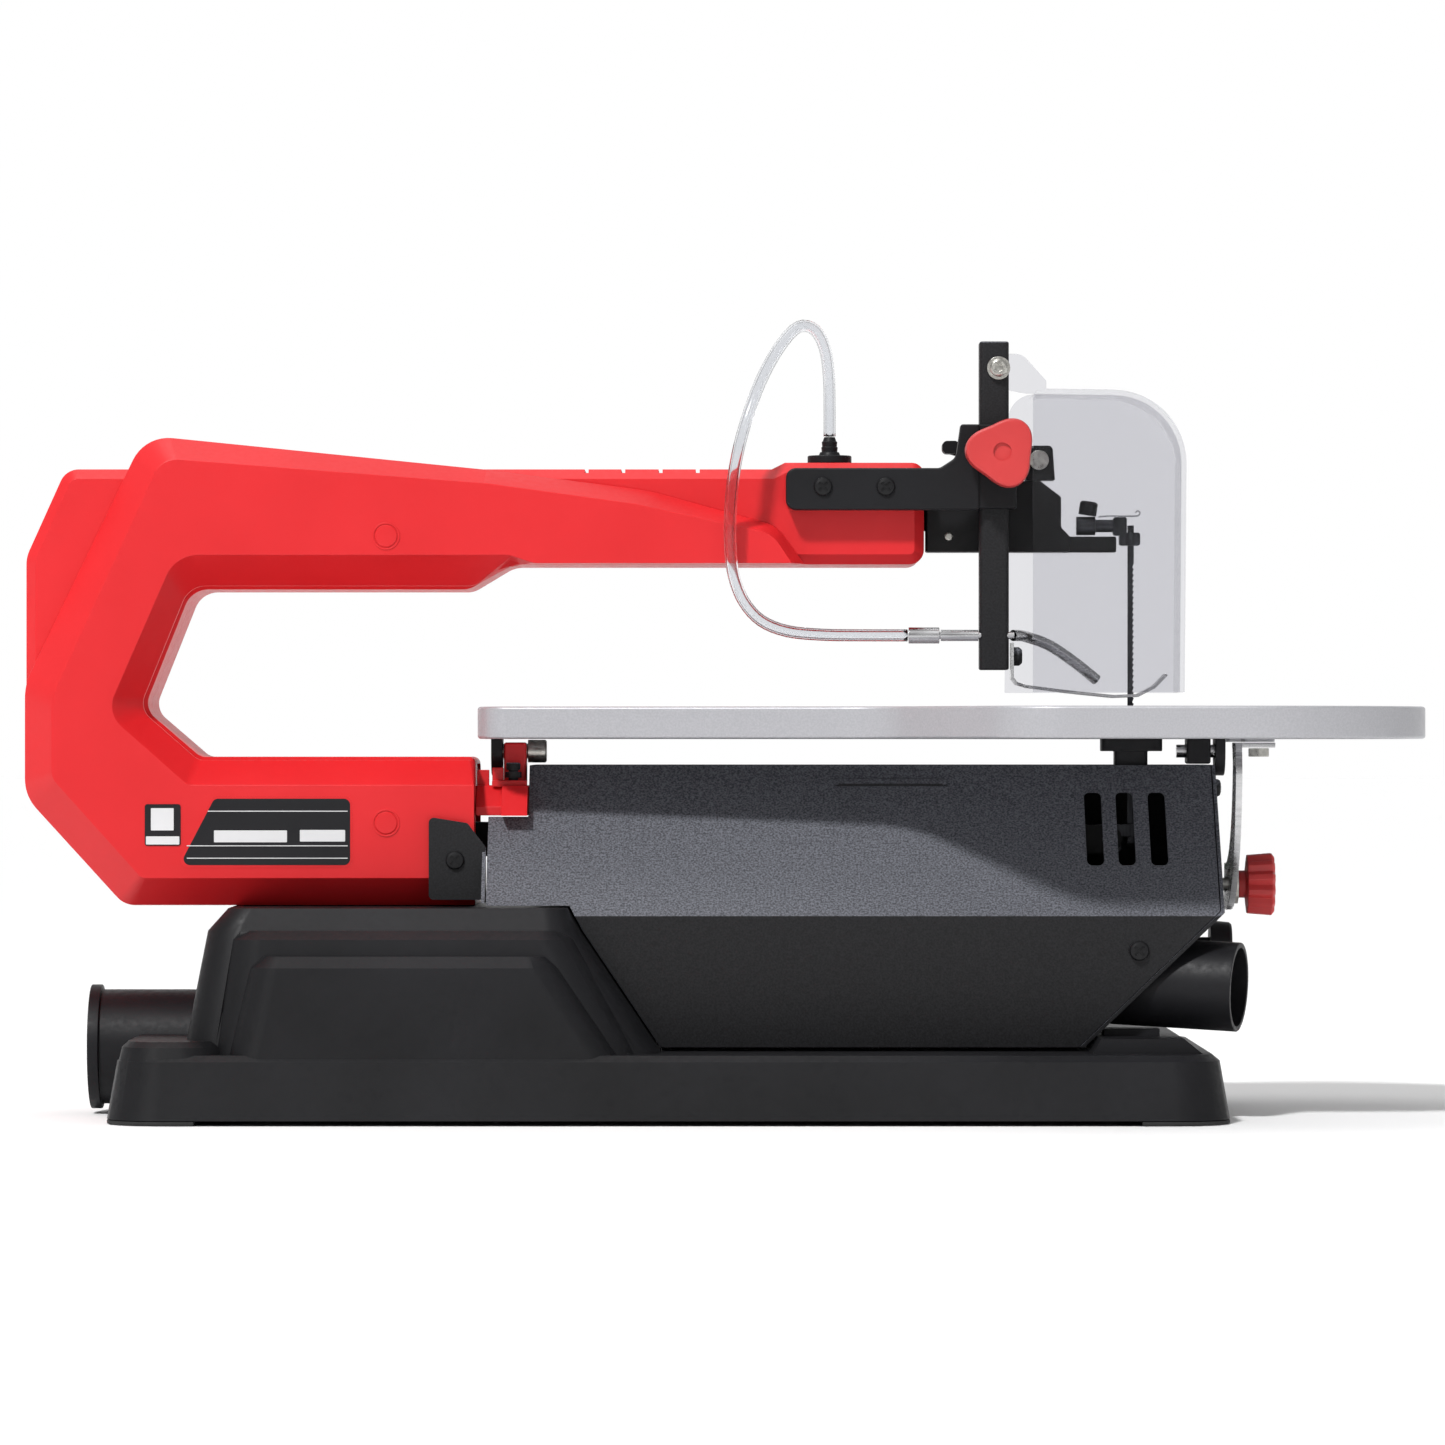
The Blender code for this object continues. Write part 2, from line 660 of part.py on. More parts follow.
def make_rod():
    """The rod between crank and lower arm; its big end stays clear of the crank pin."""
    outline = eye((CRANK_X, LOWER_Z), 6.5, 0, 180) + eye((CRANK_X, CRANK_Z), 8, 180, 360)
    rod = prism("connecting_rod", outline, "Y", 5.6, 10, ZINC)
    join(rod, turned("pin", [(3, -7), (3, 7)], (CRANK_X, 0, LOWER_Z), (0, 1, 0), ZINC, 16))
    drill(rod, (CRANK_X, 8, CRANK_Z), (0, 1, 0), 4, 10)
    return rod


def make_motor():
    centre = (CRANK_X, 0, CRANK_Z)
    profile = [(35, PANEL_RIGHT + GAP), (38, 62), (38, 104), (36, 107)]
    housing = turned("motor_housing", profile, centre, (0, 1, 0), BLACK, 32)
    bore = turned("bore", [(4.4, 50), (4.4, 80)], centre, (0, 1, 0), BLACK, 16)
    cut(housing, bore)
    cap = turned("motor_end_cap", [(35, 107.3), (33, 115), (28, 117.5)], centre, (0, 1, 0), BLACK, 32)
    for step in range(6):
        angle = math.radians(60 * step)
        x = CRANK_X + 20 * math.cos(angle)
        z = CRANK_Z + 20 * math.sin(angle)
        drill(cap, (x, 117.5, z), (0, 1, 0), 3, 12, 10)
    shaft = [(12, 14), (12, 19), (4, 19), (4, 76)]
    crank = turned("motor_crank", shaft, centre, (0, 1, 0), STEEL, 20)
    pin = [(3, 10.6), (3, 14.5)]
    join(crank, turned("pin", pin, (CRANK_X + CRANK_THROW, 0, CRANK_Z), (0, 1, 0), STEEL, 16))
    return crank, housing


# ---------------------------------------------------------------- blade


def make_blade():
    top = UPPER_PIN_Z + 1.6
    bottom = LOWER_PIN_Z - 1.6
    strip = block("blade", (BLADE_X - 1.3, -0.25, bottom), (BLADE_X + 1.3, 0.25, top), STEEL)
    for z in (UPPER_PIN_Z, LOWER_PIN_Z):
        pin = turned("pin", [(0.9, -3), (0.9, 3)], (BLADE_X, 0, z), (0, 1, 0), STEEL, 10)
        join(strip, pin)
    return strip


def make_blade_clamps():
    upper = prism("upper_blade_clamp", rounded(rectangle((162.6, 232.2), (171, 237.5), 1)), "Y", -4, 4, ZINC)
    hook = rounded(rectangle((160, 236.3), (165.6, 243.8), 1))
    join(upper, prism("hook", hook, "Y", -3, 3, ZINC))
    barrel = [(3.8, 145), (3.8, 152.7), (2.6, 152.9), (2.6, 161)]
    join(upper, turned("barrel", barrel, (0, 0, 240.3), (1, 0, 0), ZINC, 16))
    cut(upper, block("slot", (165.7, -0.6, 230), (175, 0.6, 245), ZINC))
    knob = turned(
        "upper_clamp_knob", [(3.7, 0.7), (3.7, 5.6), (2.9, 6.4)], (149.4, 0, 244), (0.15, 0, 1), BLACK, 16
    )
    lower = prism("lower_blade_clamp", rounded(rectangle((152.5, 107), (163.2, 118), 1)), "Y", -4, 4, ZINC)
    join(lower, block("claw", (163, -4, 113.2), (171, 4, 118), ZINC))
    cut(lower, block("slot", (165.7, -0.6, 100), (175, 0.6, 125), ZINC))
    join(lower, turned("pin", [(2.5, -7.4), (2.5, 7.4)], (158, 0, LOWER_Z), (0, 1, 0), ZINC, 16))
    return upper, knob, lower


# ---------------------------------------------------------------- table


def table_corners():
    return [
        (-99, -54, 14),
        (62, -66, 40),
        (118, -TABLE_HALF, 40),
        (283.3, -TABLE_HALF, 78),
        (283.3, TABLE_HALF, 78),
        (118, TABLE_HALF, 40),
        (62, 66, 40),
        (-99, 54, 14),
    ]


def make_table():
    outline = rounded(table_corners(), 5)
    table = prism("table", outline, "Z", RIM_BOTTOM, TABLE_TOP, SILVER)
    soften(table, 1.2)
    pocket = rounded(moved_in(table_corners(), 4), 5)
    cut(table, prism("pocket", pocket, "Z", RIM_BOTTOM - 3, TABLE_UNDER, SILVER))
    for y in (-52, 52):
        boss = rounded(rectangle((209.4, y - 8), (222, y + 8), 2))
        join(table, prism("boss", boss, "Z", 151.8, TABLE_UNDER + 1, SILVER))
    seat = turned("seat", [(24.3, 163), (24.3, 170)], (BLADE_X, 0, 0), (0, 0, 1), SILVER, 32)
    hole = turned("hole", [(21.5, 150), (21.5, 170)], (BLADE_X, 0, 0), (0, 0, 1), SILVER, 32)
    return cut(table, seat, hole)


def make_insert():
    profile = [(24, 163.3), (24, TABLE_TOP - 0.1)]
    insert = turned("table_insert", profile, (BLADE_X, 0, 0), (0, 0, 1), BLACK, 32)
    slot = rounded(rectangle((BLADE_X - 2.6, -2), (BLADE_X + 2.6, 20.5), 1.5))
    return cut(insert, prism("slot", slot, "Z", 160, 170, BLACK))


def table_lug(name, low, high):
    """A lug under the table that turns on the tilt axis."""
    outline = [(10, 161.7), (-10, 161.7), *arc((0, TILT_Z), 10, 180, 360, 10)]
    lug = prism(name, outline, "X", low, high, BLACK)
    return drill(lug, ((low + high) / 2, 0, TILT_Z), (1, 0, 0), 3.3, 30)


def make_tilt_parts():
    """The slotted quadrant under the table, and the stud, washer and knob that clamp it."""
    inner, outer = 46, 65
    centre = (0, TILT_Z)
    outline = arc(centre, outer, 276, 186, 14) + [(-62, 151.5), (-42, 151.5)]
    outline += arc(centre, inner, 186, 276, 12)
    bracket = prism("tilt_bracket", outline, "X", 206, 208.6, STEEL)
    slot = arc(centre, STUD_DROP + 3.2, 273.5, 221, 12) + arc(centre, STUD_DROP - 3.2, 221, 273.5, 12)
    cut(bracket, prism("slot", slot, "X", 200, 215, STEEL))
    join(bracket, block("flange", (206, -62, 149.5), (222, -42, 151.5), STEEL))
    bolt = turned("bracket_screw", [(4.6, 145.8), (4.6, 149.2)], (216, -52, 0), (0, 0, 1), ZINC, 6)
    washer = pipe("tilt_washer", 8, 3.2, 2.2, (209, 0, STUD_Z), (1, 0, 0), ZINC, 20)
    stud = turned("tilt_stud", [(2.7, 195), (2.7, 213)], (0, 0, STUD_Z), (1, 0, 0), ZINC, 16)
    knob = make_fluted_knob("tilt_clamp_knob", (0, 0, STUD_Z), 211.5, 226)
    return bracket, bolt, washer, stud, knob


def make_fluted_knob(name, centre, low, high):
    """A round knob with shallow flutes around it."""
    rings = []
    for radius, along in ((5.6, low), (5.6, low + 2.6), (12.2, low + 3.4), (13, high - 1.2), (11.4, high)):
        ring = []
        for side in range(36):
            angle = 2 * math.pi * side / 36
            reach = radius - (1.9 if side % 3 == 0 and radius > 6 else 0)
            y, z = reach * math.cos(angle), reach * math.sin(angle)
            ring.append(Vector((along, centre[1] + y, centre[2] + z)) * MM)
        rings.append(ring)
    knob = loft(name, rings, DARK_RED)
    bore = turned("bore", [(3, low - 1), (3, low + 6)], (0, centre[1], centre[2]), (1, 0, 0), RED, 16)
    return cut(knob, bore)


def make_trunnions():
    rear = table_lug("rear_table_lug", -94.6, -90)
    front = table_lug("front_table_lug", 201.6, 205.6)
    fixed = block("front_trunnion_block", (190, -9, 142.8), (199.6, 9, 153.6), BLACK)
    soften(fixed, 1)
    drill(fixed, (195, 0, TILT_Z), (1, 0, 0), 3, 30)
    turned("front_pivot_pin", [(2.7, 186), (2.7, 205.8)], (0, 0, TILT_Z), (1, 0, 0), STEEL, 16)
    bolt = [(3, -94.4), (3, -79.8), (4.7, -79.7), (4.7, -72.6), (4, -72)]
    turned("rear_pivot_bolt", bolt, (0, 0, TILT_Z), (1, 0, 0), ZINC, 18)
    return rear, front


def make_dust_funnel():
    """The nozzle under the table that catches dust below the insert."""
    top = rounded(rectangle((155, -8), (180, 8), 3))
    funnel = prism("dust_funnel", top, "Z", TILT_Z, 153.8, BLACK)
    neck = rounded(rectangle((160.5, -6.5), (174, 6.5), 2))
    join(funnel, prism("neck", neck, "Z", 136, TILT_Z + 1, BLACK))
    return cut(funnel, block("way", (163, -4.2, 120), (171.6, 4.2, 160), BLACK))


# ---------------------------------------------------------------- head


def make_head_bracket():
    outline = rounded(
        [
            (25.7, 245.8, 4),
            (104, 245.8),
            (104, 280.4),
            (96.5, 280.4, 1),
            (94.6, 267, 5),
            (88, 262.7, 4),
            (25.7, 262.7, 4),
        ]
    )
    bracket = prism("head_bracket", outline, "Y", -37.6, SHELL_LEFT - GAP, BLACK)
    sleeve = prism("sleeve", rounded(rectangle((101.8, -36.4), (119.2, -14.4), 2)), "Z", 246.3, 280.4, BLACK)
    soften(bracket, 0.8)
    join(bracket, soften(sleeve, 0.8))
    channel = block("channel", (103.9, -32.4, 230), (116.6, -17.6, 300), BLACK)
    cut(bracket, channel)
    drill(bracket, (112.7, -35, 268.6), (0, 1, 0), 3.2, 12)
    return bracket


def make_column():
    low, high = COLUMN_X[0], COLUMN_X[1]
    outline = rounded(rectangle((low, COLUMN_Y[0]), (high, COLUMN_Y[1]), 1.6), 2)
    column = prism("guard_column", outline, "Z", 181, 314.3, BLACK)
    soften(column, 0.8)
    drill(column, (110, NOZZLE_Y, NOZZLE_Z), (1, 0, 0), 1.9, 30)
    drill(column, (GUARD_PIVOT[0], -25, GUARD_PIVOT[1]), (0, 1, 0), 2.8, 30)
    return column


def make_column_knob():
    """A three-cornered clamp knob on its stud."""
    centre = Vector((112.7, 268.6))
    outline = []
    for side in range(42):
        angle = 2 * math.pi * side / 42
        swell = math.cos(3 * (angle - math.radians(54)))
        radius = 13.2 + 1.7 * swell
        outline.append((centre.x + radius * math.cos(angle), centre.y + radius * math.sin(angle)))
    knob = prism("column_knob", outline, "Y", -55, -43, DARK_RED)
    soften(knob, 1.6, 2)
    stud = turned("stud", [(2.7, 32.8), (2.7, 42), (5.5, 42), (5.5, 44)], (112.7, 0, 268.6), (0, -1, 0), ZINC, 16)
    join(knob, stud)
    return drill(knob, (112.7, -55, 268.6), (0, 1, 0), 3.7, 2.4)


def make_guard():
    thick = 2.0
    outer = rounded([(126.3, 172), (126.3, 295.6, 4), (189, 294.6, 30), (188, 172)], 5)
    guard = prism("blade_guard", outer, "Y", -24, 24, CLEAR)
    inner = rounded(
        [(110, 160), (110, 295.6 - thick), (189 - thick, 294.6 - thick, 28), (188 - thick, 160)], 5
    )
    cut(guard, prism("inside", inner, "Y", -24 + thick, 24 - thick, CLEAR))
    tab = rounded([(105, 297, 4), (124, 293.8), (132, 293.8), (132, 299), (122, 310, 6), (105, 310, 5)])
    join(guard, prism("tab", tab, "Y", -17.6, -15.4, CLEAR))
    far = rounded([(116.5, 172), (118, 295.6, 11), (140, 295.2), (140, 172)], 5)
    join(guard, prism("far_wall", far, "Y", 24 - thick, 24, CLEAR))
    return drill(guard, (GUARD_PIVOT[0], -16, GUARD_PIVOT[1]), (0, 1, 0), 2.8, 10)


def make_guard_screw():
    profile = [(2.5, 14.4), (2.5, 32.3), (4.7, 32.3), (4.7, 33.5), (3.6, 33.5), (3.6, 35.4), (2.8, 36)]
    bolt = turned("guard_screw", profile, (GUARD_PIVOT[0], 0, GUARD_PIVOT[1]), (0, -1, 0), ZINC, 18)
    return drill(bolt, (GUARD_PIVOT[0], -36, GUARD_PIVOT[1]), (0, 1, 0), 1.7, 2.4, 6)


def make_foot():
    """The spring-steel hold-down: a leg on the column, bent forward into a fork by the blade."""
    run = [(117, 192), (117, 177.5), (119, 175), (123.5, 173.8), (140, 171.8), (160, 169.8)]
    run += [(170, 170.2), (177, 173.8), (182, 179)]
    foot = prism("hold_down_foot", folded(run, 1.2), "Y", -40, 20, STEEL)
    plan = [
        (110, -32), (119.5, -32), (124.5, -20.5), (148, -9), (190, -9), (190, -3), (161, -3), (161, 3),
        (190, 3), (190, 9), (146, 9), (124, -10), (119.5, -18), (110, -18),
    ]
    combine(foot, prism("plan", plan, "Z", 150, 210, STEEL), "INTERSECT")
    return foot


# the tube has a thin neck inside the ferrule and where it goes through the column
NOZZLE_RADIUS = 2.3
NOZZLE_NECK = 1.5
NOZZLE_ROUTE = [
    (79, NOZZLE_Y, NOZZLE_Z), (88.2, NOZZLE_Y, NOZZLE_Z), (88.6, NOZZLE_Y, NOZZLE_Z),
    (103.6, NOZZLE_Y, NOZZLE_Z), (104.1, NOZZLE_Y, NOZZLE_Z), (117.3, NOZZLE_Y, NOZZLE_Z),
    (118, -29.3, NOZZLE_Z), (120.8, -26.2, NOZZLE_Z), (123, -22.4, 194.7), (126, -19, 193.9),
    (129.8, -16.8, 192.7), (134, -14.7, 190.8), (138.6, -12.5, 188), (143.2, -10.1, 184.8),
    (148, -7.6, 181.2), (153, -5, 177.2),
]


def make_blower():
    """Ferrule and thin steel tube that blow the cutting line clear."""
    ferrule = pipe("blower_ferrule", 3.3, 2.0, 12.5, (75.5, NOZZLE_Y, NOZZLE_Z), (1, 0, 0), STEEL, 16)
    nozzle = cord_tube("blower_nozzle", NOZZLE_ROUTE, NOZZLE_RADIUS, STEEL)
    for spot in nozzle.data.splines[0].points:
        x = spot.co[0] / MM
        if x < 88.5 or COLUMN_X[0] - 0.5 < x < COLUMN_X[1] + 1.2:
            spot.radius = NOZZLE_NECK / NOZZLE_RADIUS
    return ferrule, nozzle


HOSE_ROUTE = [
    (43.7, -12, 276.5), (43.7, -12, 289), (43.4, -13, 301), (41.8, -15.5, 312), (37.6, -19.5, 319.6),
    (30.8, -25.5, 320.4), (23.2, -32.5, 312), (15.4, -40, 297.5), (9, -47, 279.5), (5, -50.5, 262.5),
    (3.2, -51.4, 245), (3.2, -51, 229.5), (4.6, -49.6, 218.5), (8.6, -47.4, 208.4), (15.6, -44, 200.8),
    (26, -40, 196.6), (40, -35.6, 195.2), (56, -31.6, 195), (75, NOZZLE_Y, 195),
]


def smooth_route(points, pieces):
    """Points on one smooth curve through a route's own points."""
    curve = []
    count = len(points)
    spots = [Vector(p) for p in points]
    for i in range(count - 1):
        p0, p1 = spots[max(i - 1, 0)], spots[i]
        p2, p3 = spots[i + 1], spots[min(i + 2, count - 1)]
        for step in range(pieces):
            t = step / pieces
            a = 2 * p1
            b = p2 - p0
            c = 2 * p0 - 5 * p1 + 4 * p2 - p3
            d = 3 * p1 - p0 - 3 * p2 + p3
            curve.append((a + b * t + c * t**2 + d * t**3) / 2)
    curve.append(spots[-1])
    return curve


def cord_tube(name, points, radius, finish):
    """A round tube along a polyline."""
    data = bpy.data.curves.new(name, "CURVE")
    data.dimensions = "3D"
    data.bevel_depth = radius * MM
    data.bevel_resolution = 2
    data.use_fill_caps = True
    spline = data.splines.new("POLY")
    spline.points.add(len(points) - 1)
    for spot, point in zip(spline.points, points):
        spot.co = (*(Vector(point) * MM), 1.0)
    data.materials.append(material(finish))
    tube = bpy.data.objects.new(name, data)
    bpy.context.scene.collection.objects.link(tube)
    return tube


def make_hose():
    profile = [(2.6, 259), (2.6, 265.7), (9, 265.7), (9, 268.4), (3.2, 268.6), (3.2, 275), (2.2, 276.2)]
    turned("hose_fitting", profile, (43.7, -12, 0), (0, 0, 1), BLACK, 18)
    return cord_tube("air_hose", smooth_route(HOSE_ROUTE, 2), 2.5, CLEAR)


# ---------------------------------------------------------------- controls


def make_controls():
    face = FRONT_X + SHEET + 2 * GAP
    bezel = prism("switch_bezel", rounded(rectangle((31, 94), (53, 131), 3)), "X", face, face + 1.6, BLACK)
    for z in (105, 121):
        drill(bezel, (face, 42, z), (1, 0, 0), 6.6, 20)
    cap = [(6.2, 195), (6.2, 204.9), (5.4, 205.4)]
    start = turned("start_button", cap, (0, 42, 105), (1, 0, 0), GREEN, 20)
    stop = turned("stop_button", cap, (0, 42, 121), (1, 0, 0), DARK_RED, 20)
    dial_profile = [(3, 192), (3, face), (10, face), (9.2, face + 8), (8.4, face + 9)]
    dial = turned("speed_dial", dial_profile, (0, 30, 68), (1, 0, 0), BLACK, 24)
    mark = block("mark", (face + 8, 29.3, 71), (face + 12, 30.7, 79), BLACK)
    cut(dial, mark)
    gland_profile = [(6, 58.4), (7.5, 58.4), (7.5, 61), (5.2, 61), (4.4, 74), (2.8, 74), (2.8, 58.4)]
    turned("cable_gland", gland_profile[1:], (-40, 0, 100), (0, 1, 0), RUBBER, 18, hollow=True)
    return start, stop, dial


# ---------------------------------------------------------------- assembly


def build():
    clear_scene()
    make_base()
    make_feet()
    make_dust_pipes()
    make_left_panel()
    make_right_panel()
    make_front_panel()
    make_rear_flange()
    make_housing()
    upper_arm = make_upper_arm()
    fork, lever, lever_pin = make_tension_lever()
    lower_arm = make_lower_arm()
    link = make_rear_link()
    make_pivot_pins()
    rod = make_rod()
    crank, _ = make_motor()
    blade = make_blade()
    upper_clamp, clamp_knob, lower_clamp = make_blade_clamps()
    table = make_table()
    insert = make_insert()
    rear_lug, front_lug = make_trunnions()
    bracket, bolt, _, _, tilt_knob = make_tilt_parts()
    make_dust_funnel()
    make_head_bracket()
    column = make_column()
    column_knob = make_column_knob()
    guard = make_guard()
    guard_screw = make_guard_screw()
    foot = make_foot()
    ferrule, nozzle = make_blower()
    make_hose()
    start, stop, dial = make_controls()
    foot_screw = screw("foot_screw", (119.4, -25, 186.5), (1, 0, 0), 3.8, 2.4, BLACK)
    hang(pivot("upper_arm_axis", PIVOT_X, 0, UPPER_Z), upper_arm, fork, lever_pin)
    hang(pivot("lower_arm_axis", PIVOT_X, 0, LOWER_Z), lower_arm)
    hang(pivot("link_axis", LINK_X, 0, UPPER_Z), link)
    hang(pivot("rod_axis", CRANK_X, 0, LOWER_Z), rod)
    hang(pivot("crank_axis", CRANK_X, 0, CRANK_Z), crank)
    hang(pivot("blade_axis", BLADE_X, 0, UPPER_PIN_Z), blade, upper_clamp, lower_clamp, clamp_knob)
    hang(pivot("lever_axis", 129.4, 0, 267), lever)
    hang(pivot("tilt_axis", 0, 0, TILT_Z), table, insert, rear_lug, front_lug, bracket, bolt)
    hang(pivot("column_axis", 110, -25, 250), column, guard_screw, foot, foot_screw, ferrule, nozzle)
    hang(pivot("guard_axis", GUARD_PIVOT[0], 0, GUARD_PIVOT[1]), guard)
    hang(pivot("column_knob_axis", 112.7, -49, 268.6), column_knob)
    hang(pivot("tilt_knob_axis", 219, 0, STUD_Z), tilt_knob)
    hang(pivot("dial_axis", 205, 30, 68), dial)
    hang(pivot("start_axis", 202, 42, 105), start)
    hang(pivot("stop_axis", 202, 42, 121), stop)


build()
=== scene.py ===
"""The looks of a scroll saw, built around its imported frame.

The shapes repeat the frame's own sizes in millimetres, with finer arcs, rounded edges and small
trim, and every surface gets a procedural material. Pieces ride on the frame's bodies.
"""

import json
import math

import bmesh
import bpy
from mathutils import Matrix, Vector


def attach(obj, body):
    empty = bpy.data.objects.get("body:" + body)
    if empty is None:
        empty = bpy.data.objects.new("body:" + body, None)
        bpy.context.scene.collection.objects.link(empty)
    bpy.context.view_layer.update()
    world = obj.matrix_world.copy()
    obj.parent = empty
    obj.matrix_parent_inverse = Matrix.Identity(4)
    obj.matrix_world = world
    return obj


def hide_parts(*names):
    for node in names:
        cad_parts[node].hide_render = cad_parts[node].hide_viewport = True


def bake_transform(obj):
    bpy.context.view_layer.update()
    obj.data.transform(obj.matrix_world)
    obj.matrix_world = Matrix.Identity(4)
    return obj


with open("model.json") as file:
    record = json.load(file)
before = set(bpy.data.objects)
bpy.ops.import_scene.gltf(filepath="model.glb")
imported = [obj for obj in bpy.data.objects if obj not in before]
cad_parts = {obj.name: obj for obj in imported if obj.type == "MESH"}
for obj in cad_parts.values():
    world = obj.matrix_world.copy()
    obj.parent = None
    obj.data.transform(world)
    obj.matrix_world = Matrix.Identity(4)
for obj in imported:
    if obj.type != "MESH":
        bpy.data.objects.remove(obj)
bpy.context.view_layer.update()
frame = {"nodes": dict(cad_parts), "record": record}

MM = 0.001
GAP = 0.3  # clearance between pieces that touch in reality

# driving dimensions of the whole saw
BLADE_X = 167.3
TILT_Z = 148  # height of the table's tilt axis, which runs along X at y = 0
TABLE_TOP = 166
TABLE_UNDER = 162
RIM_BOTTOM = 153
TABLE_HALF = 125
DECK_Z = 27.5
BASE_UNDER = 1.9
BASE_INSIDE = ((-236, -101), (193, 101))
HUMP_Z = 85.2
PIVOT_X = -232  # both rocker arms turn about this line
LINK_X = -254
UPPER_Z = 238
LOWER_Z = 112
CRANK_X = 25  # middle of the motor
CRANK_Z = 70
PIN_SPACING = 127  # five-inch pinned blade
UPPER_PIN_Z = 238.9
LOWER_PIN_Z = UPPER_PIN_Z - PIN_SPACING
WALL = 2.8  # moulded housing wall
CHAMFER = 4  # sloped edge around both outer faces of the housing
SHEET = 1.5  # pressed steel panel
SHELL_LEFT = -26
SHELL_RIGHT = 40
COVER_FACE = -42.6
ARM_UNDER = 224
GUARD_SIDE = 24  # outer face of each wall of the clear guard
GUARD_WALL = 2
COLUMN_X = (104.3, 116.2)
COLUMN_Y = (-32, -18)
GUARD_PIVOT = (112, 303.4)
CLAMP_STUD = (112.7, 268.6)  # the stud that holds the column in the head bracket
LEVER_PIVOT = (129.4, 267)
FITTING = (43.7, -12)  # hose fitting on top of the arm
FLANGE_SCREW = (-108, 104)
CONTROLS_Y = 42
START_Z = 105
STOP_Z = 121
BUTTON_HOLE = 6.6
DIAL = (30, 68)
PLUG_X = -136
NOZZLE_Y = -29.6  # beside the housing, so that it clears the arm as the column rises
NOZZLE_Z = 195
STUD_DROP = 54.5  # tilt clamp stud below the tilt axis
STUD_Z = TILT_Z - STUD_DROP
PANEL_TOP = (-10, 142.4)
PANEL_FOLD = (-70, 82)
PANEL_FOOT = (-62, 29)
PANEL_RIGHT = 58
FRONT_X = 199.5
DUST_DIRECTION = (math.cos(math.radians(16)), -math.sin(math.radians(16)), -0.05)
DUST_LENGTH = 52
DUST_START = Vector((208, -54, 53)) - Vector(DUST_DIRECTION).normalized() * DUST_LENGTH

# rising levels of each drafted block on the base: two opposite corners, corner radius, height
HUMP = (
    ((-216, -92), (-22, 92), 16, DECK_Z - 4),
    ((-206, -84), (-57, 84), 14, HUMP_Z - 9),
    ((-198, -78), (-62, 78), 10, HUMP_Z),
)
SHOULDER = (
    ((-205, -98), (-30, 98), 16, DECK_Z - 4),
    ((-197, -91), (-59, 91), 14, 73),
    ((-192, -86), (-64, 86), 10, 76.5),
)
BULGE = (
    ((-198, -105), (-37, 105), 14, 22),
    ((-188, -101), (-65, 101), 12, 62),
    ((-183, -97), (-70, 97), 8, 66.5),
)
REAR_STEP = (
    ((-241, -105.5), (-196, 105.5), 18, 22),
    ((-239, -103.5), (-200, 103.5), 16, 30.5),
    ((-236.5, -101), (-203, 101), 14, 32.8),
)

HOSE_ROUTE = [
    (43.7, -12, 276.5), (43.7, -12, 289), (43.4, -13, 301), (41.8, -15.5, 312), (37.6, -19.5, 319.6),
    (30.8, -25.5, 320.4), (23.2, -32.5, 312), (15.4, -40, 297.5), (9, -47, 279.5), (5, -50.5, 262.5),
    (3.2, -51.4, 245), (3.2, -51, 229.5), (4.6, -49.6, 218.5), (8.6, -47.4, 208.4), (15.6, -44, 200.8),
    (26, -40, 196.6), (40, -35.6, 195.2), (56, -31.6, 195), (75, NOZZLE_Y, 195),
]

# the blower's tube: full and inside the column, and its bend towards the blade
NOZZLE_RADIUS = 2.3
NOZZLE_NECK = 1.5
NOZZLE_BEND = [
    (118, -29.3, NOZZLE_Z), (120.8, -26.2, NOZZLE_Z), (123, -22.4, 194.7), (126, -19, 193.9),
    (129.8, -16.8, 192.7), (134, -14.7, 190.8), (138.6, -12.5, 188), (143.2, -10.1, 184.8),
    (148, -7.6, 181.2), (153, -5, 177.2),
]

PLANES = {"X": (1, 2, 0), "Y": (0, 2, 1), "Z": (0, 1, 2)}
X, Y, Z = (1, 0, 0), (0, 1, 0), (0, 0, 1)
NEAR = (0, -1, 0)  # towards the side that faces the camera
SUFFIX = "_look"


def at(axis, u, v, w):
    """A point in metres from two coordinates in the plane across an axis and one along it."""
    point = Vector((0, 0, 0))
    for index, value in zip(PLANES[axis], (u, v, w)):
        point[index] = value * MM
    return point


def across(spot, y=0):
    """A place (x, z) on a line across the saw, at a distance along it."""
    return (spot[0], y, spot[1])


def polar(centre, radius, angle):
    return (centre[0] + radius * math.cos(angle), centre[1] + radius * math.sin(angle))


def rounded(corners, steps=9):
    """An outline's points, from corners (u, v, radius) or (u, v)."""
    points = []
    count = len(corners)
    for i, corner in enumerate(corners):
        here = Vector(corner[:2])
        radius = corner[2] if len(corner) > 2 else 0
        if radius == 0:
            points.append(tuple(here))
            continue
        back = (Vector(corners[i - 1][:2]) - here).normalized()
        ahead = (Vector(corners[(i + 1) % count][:2]) - here).normalized()
        half = back.angle(ahead) / 2
        centre = here + (back + ahead).normalized() * (radius / math.sin(half))
        start = here + back * (radius / math.tan(half)) - centre
        end = here + ahead * (radius / math.tan(half)) - centre
        first = math.atan2(start.y, start.x)
        sweep = math.atan2(end.y, end.x) - first
        sweep = (sweep + math.pi) % (2 * math.pi) - math.pi
        for step in range(steps + 1):
            points.append(polar(centre, radius, first + sweep * step / steps))
    return points


def arc(centre, radius, start, end, steps):
    """Points on an arc, its angles in degrees."""
    turn = (end - start) / steps
    return [polar(centre, radius, math.radians(start + turn * step)) for step in range(steps + 1)]


def rectangle(low, high, radius=0):
    corners = (low, (high[0], low[1]), high, (low[0], high[1]))
    return [(u, v, radius) for u, v in corners]


# ---- materials


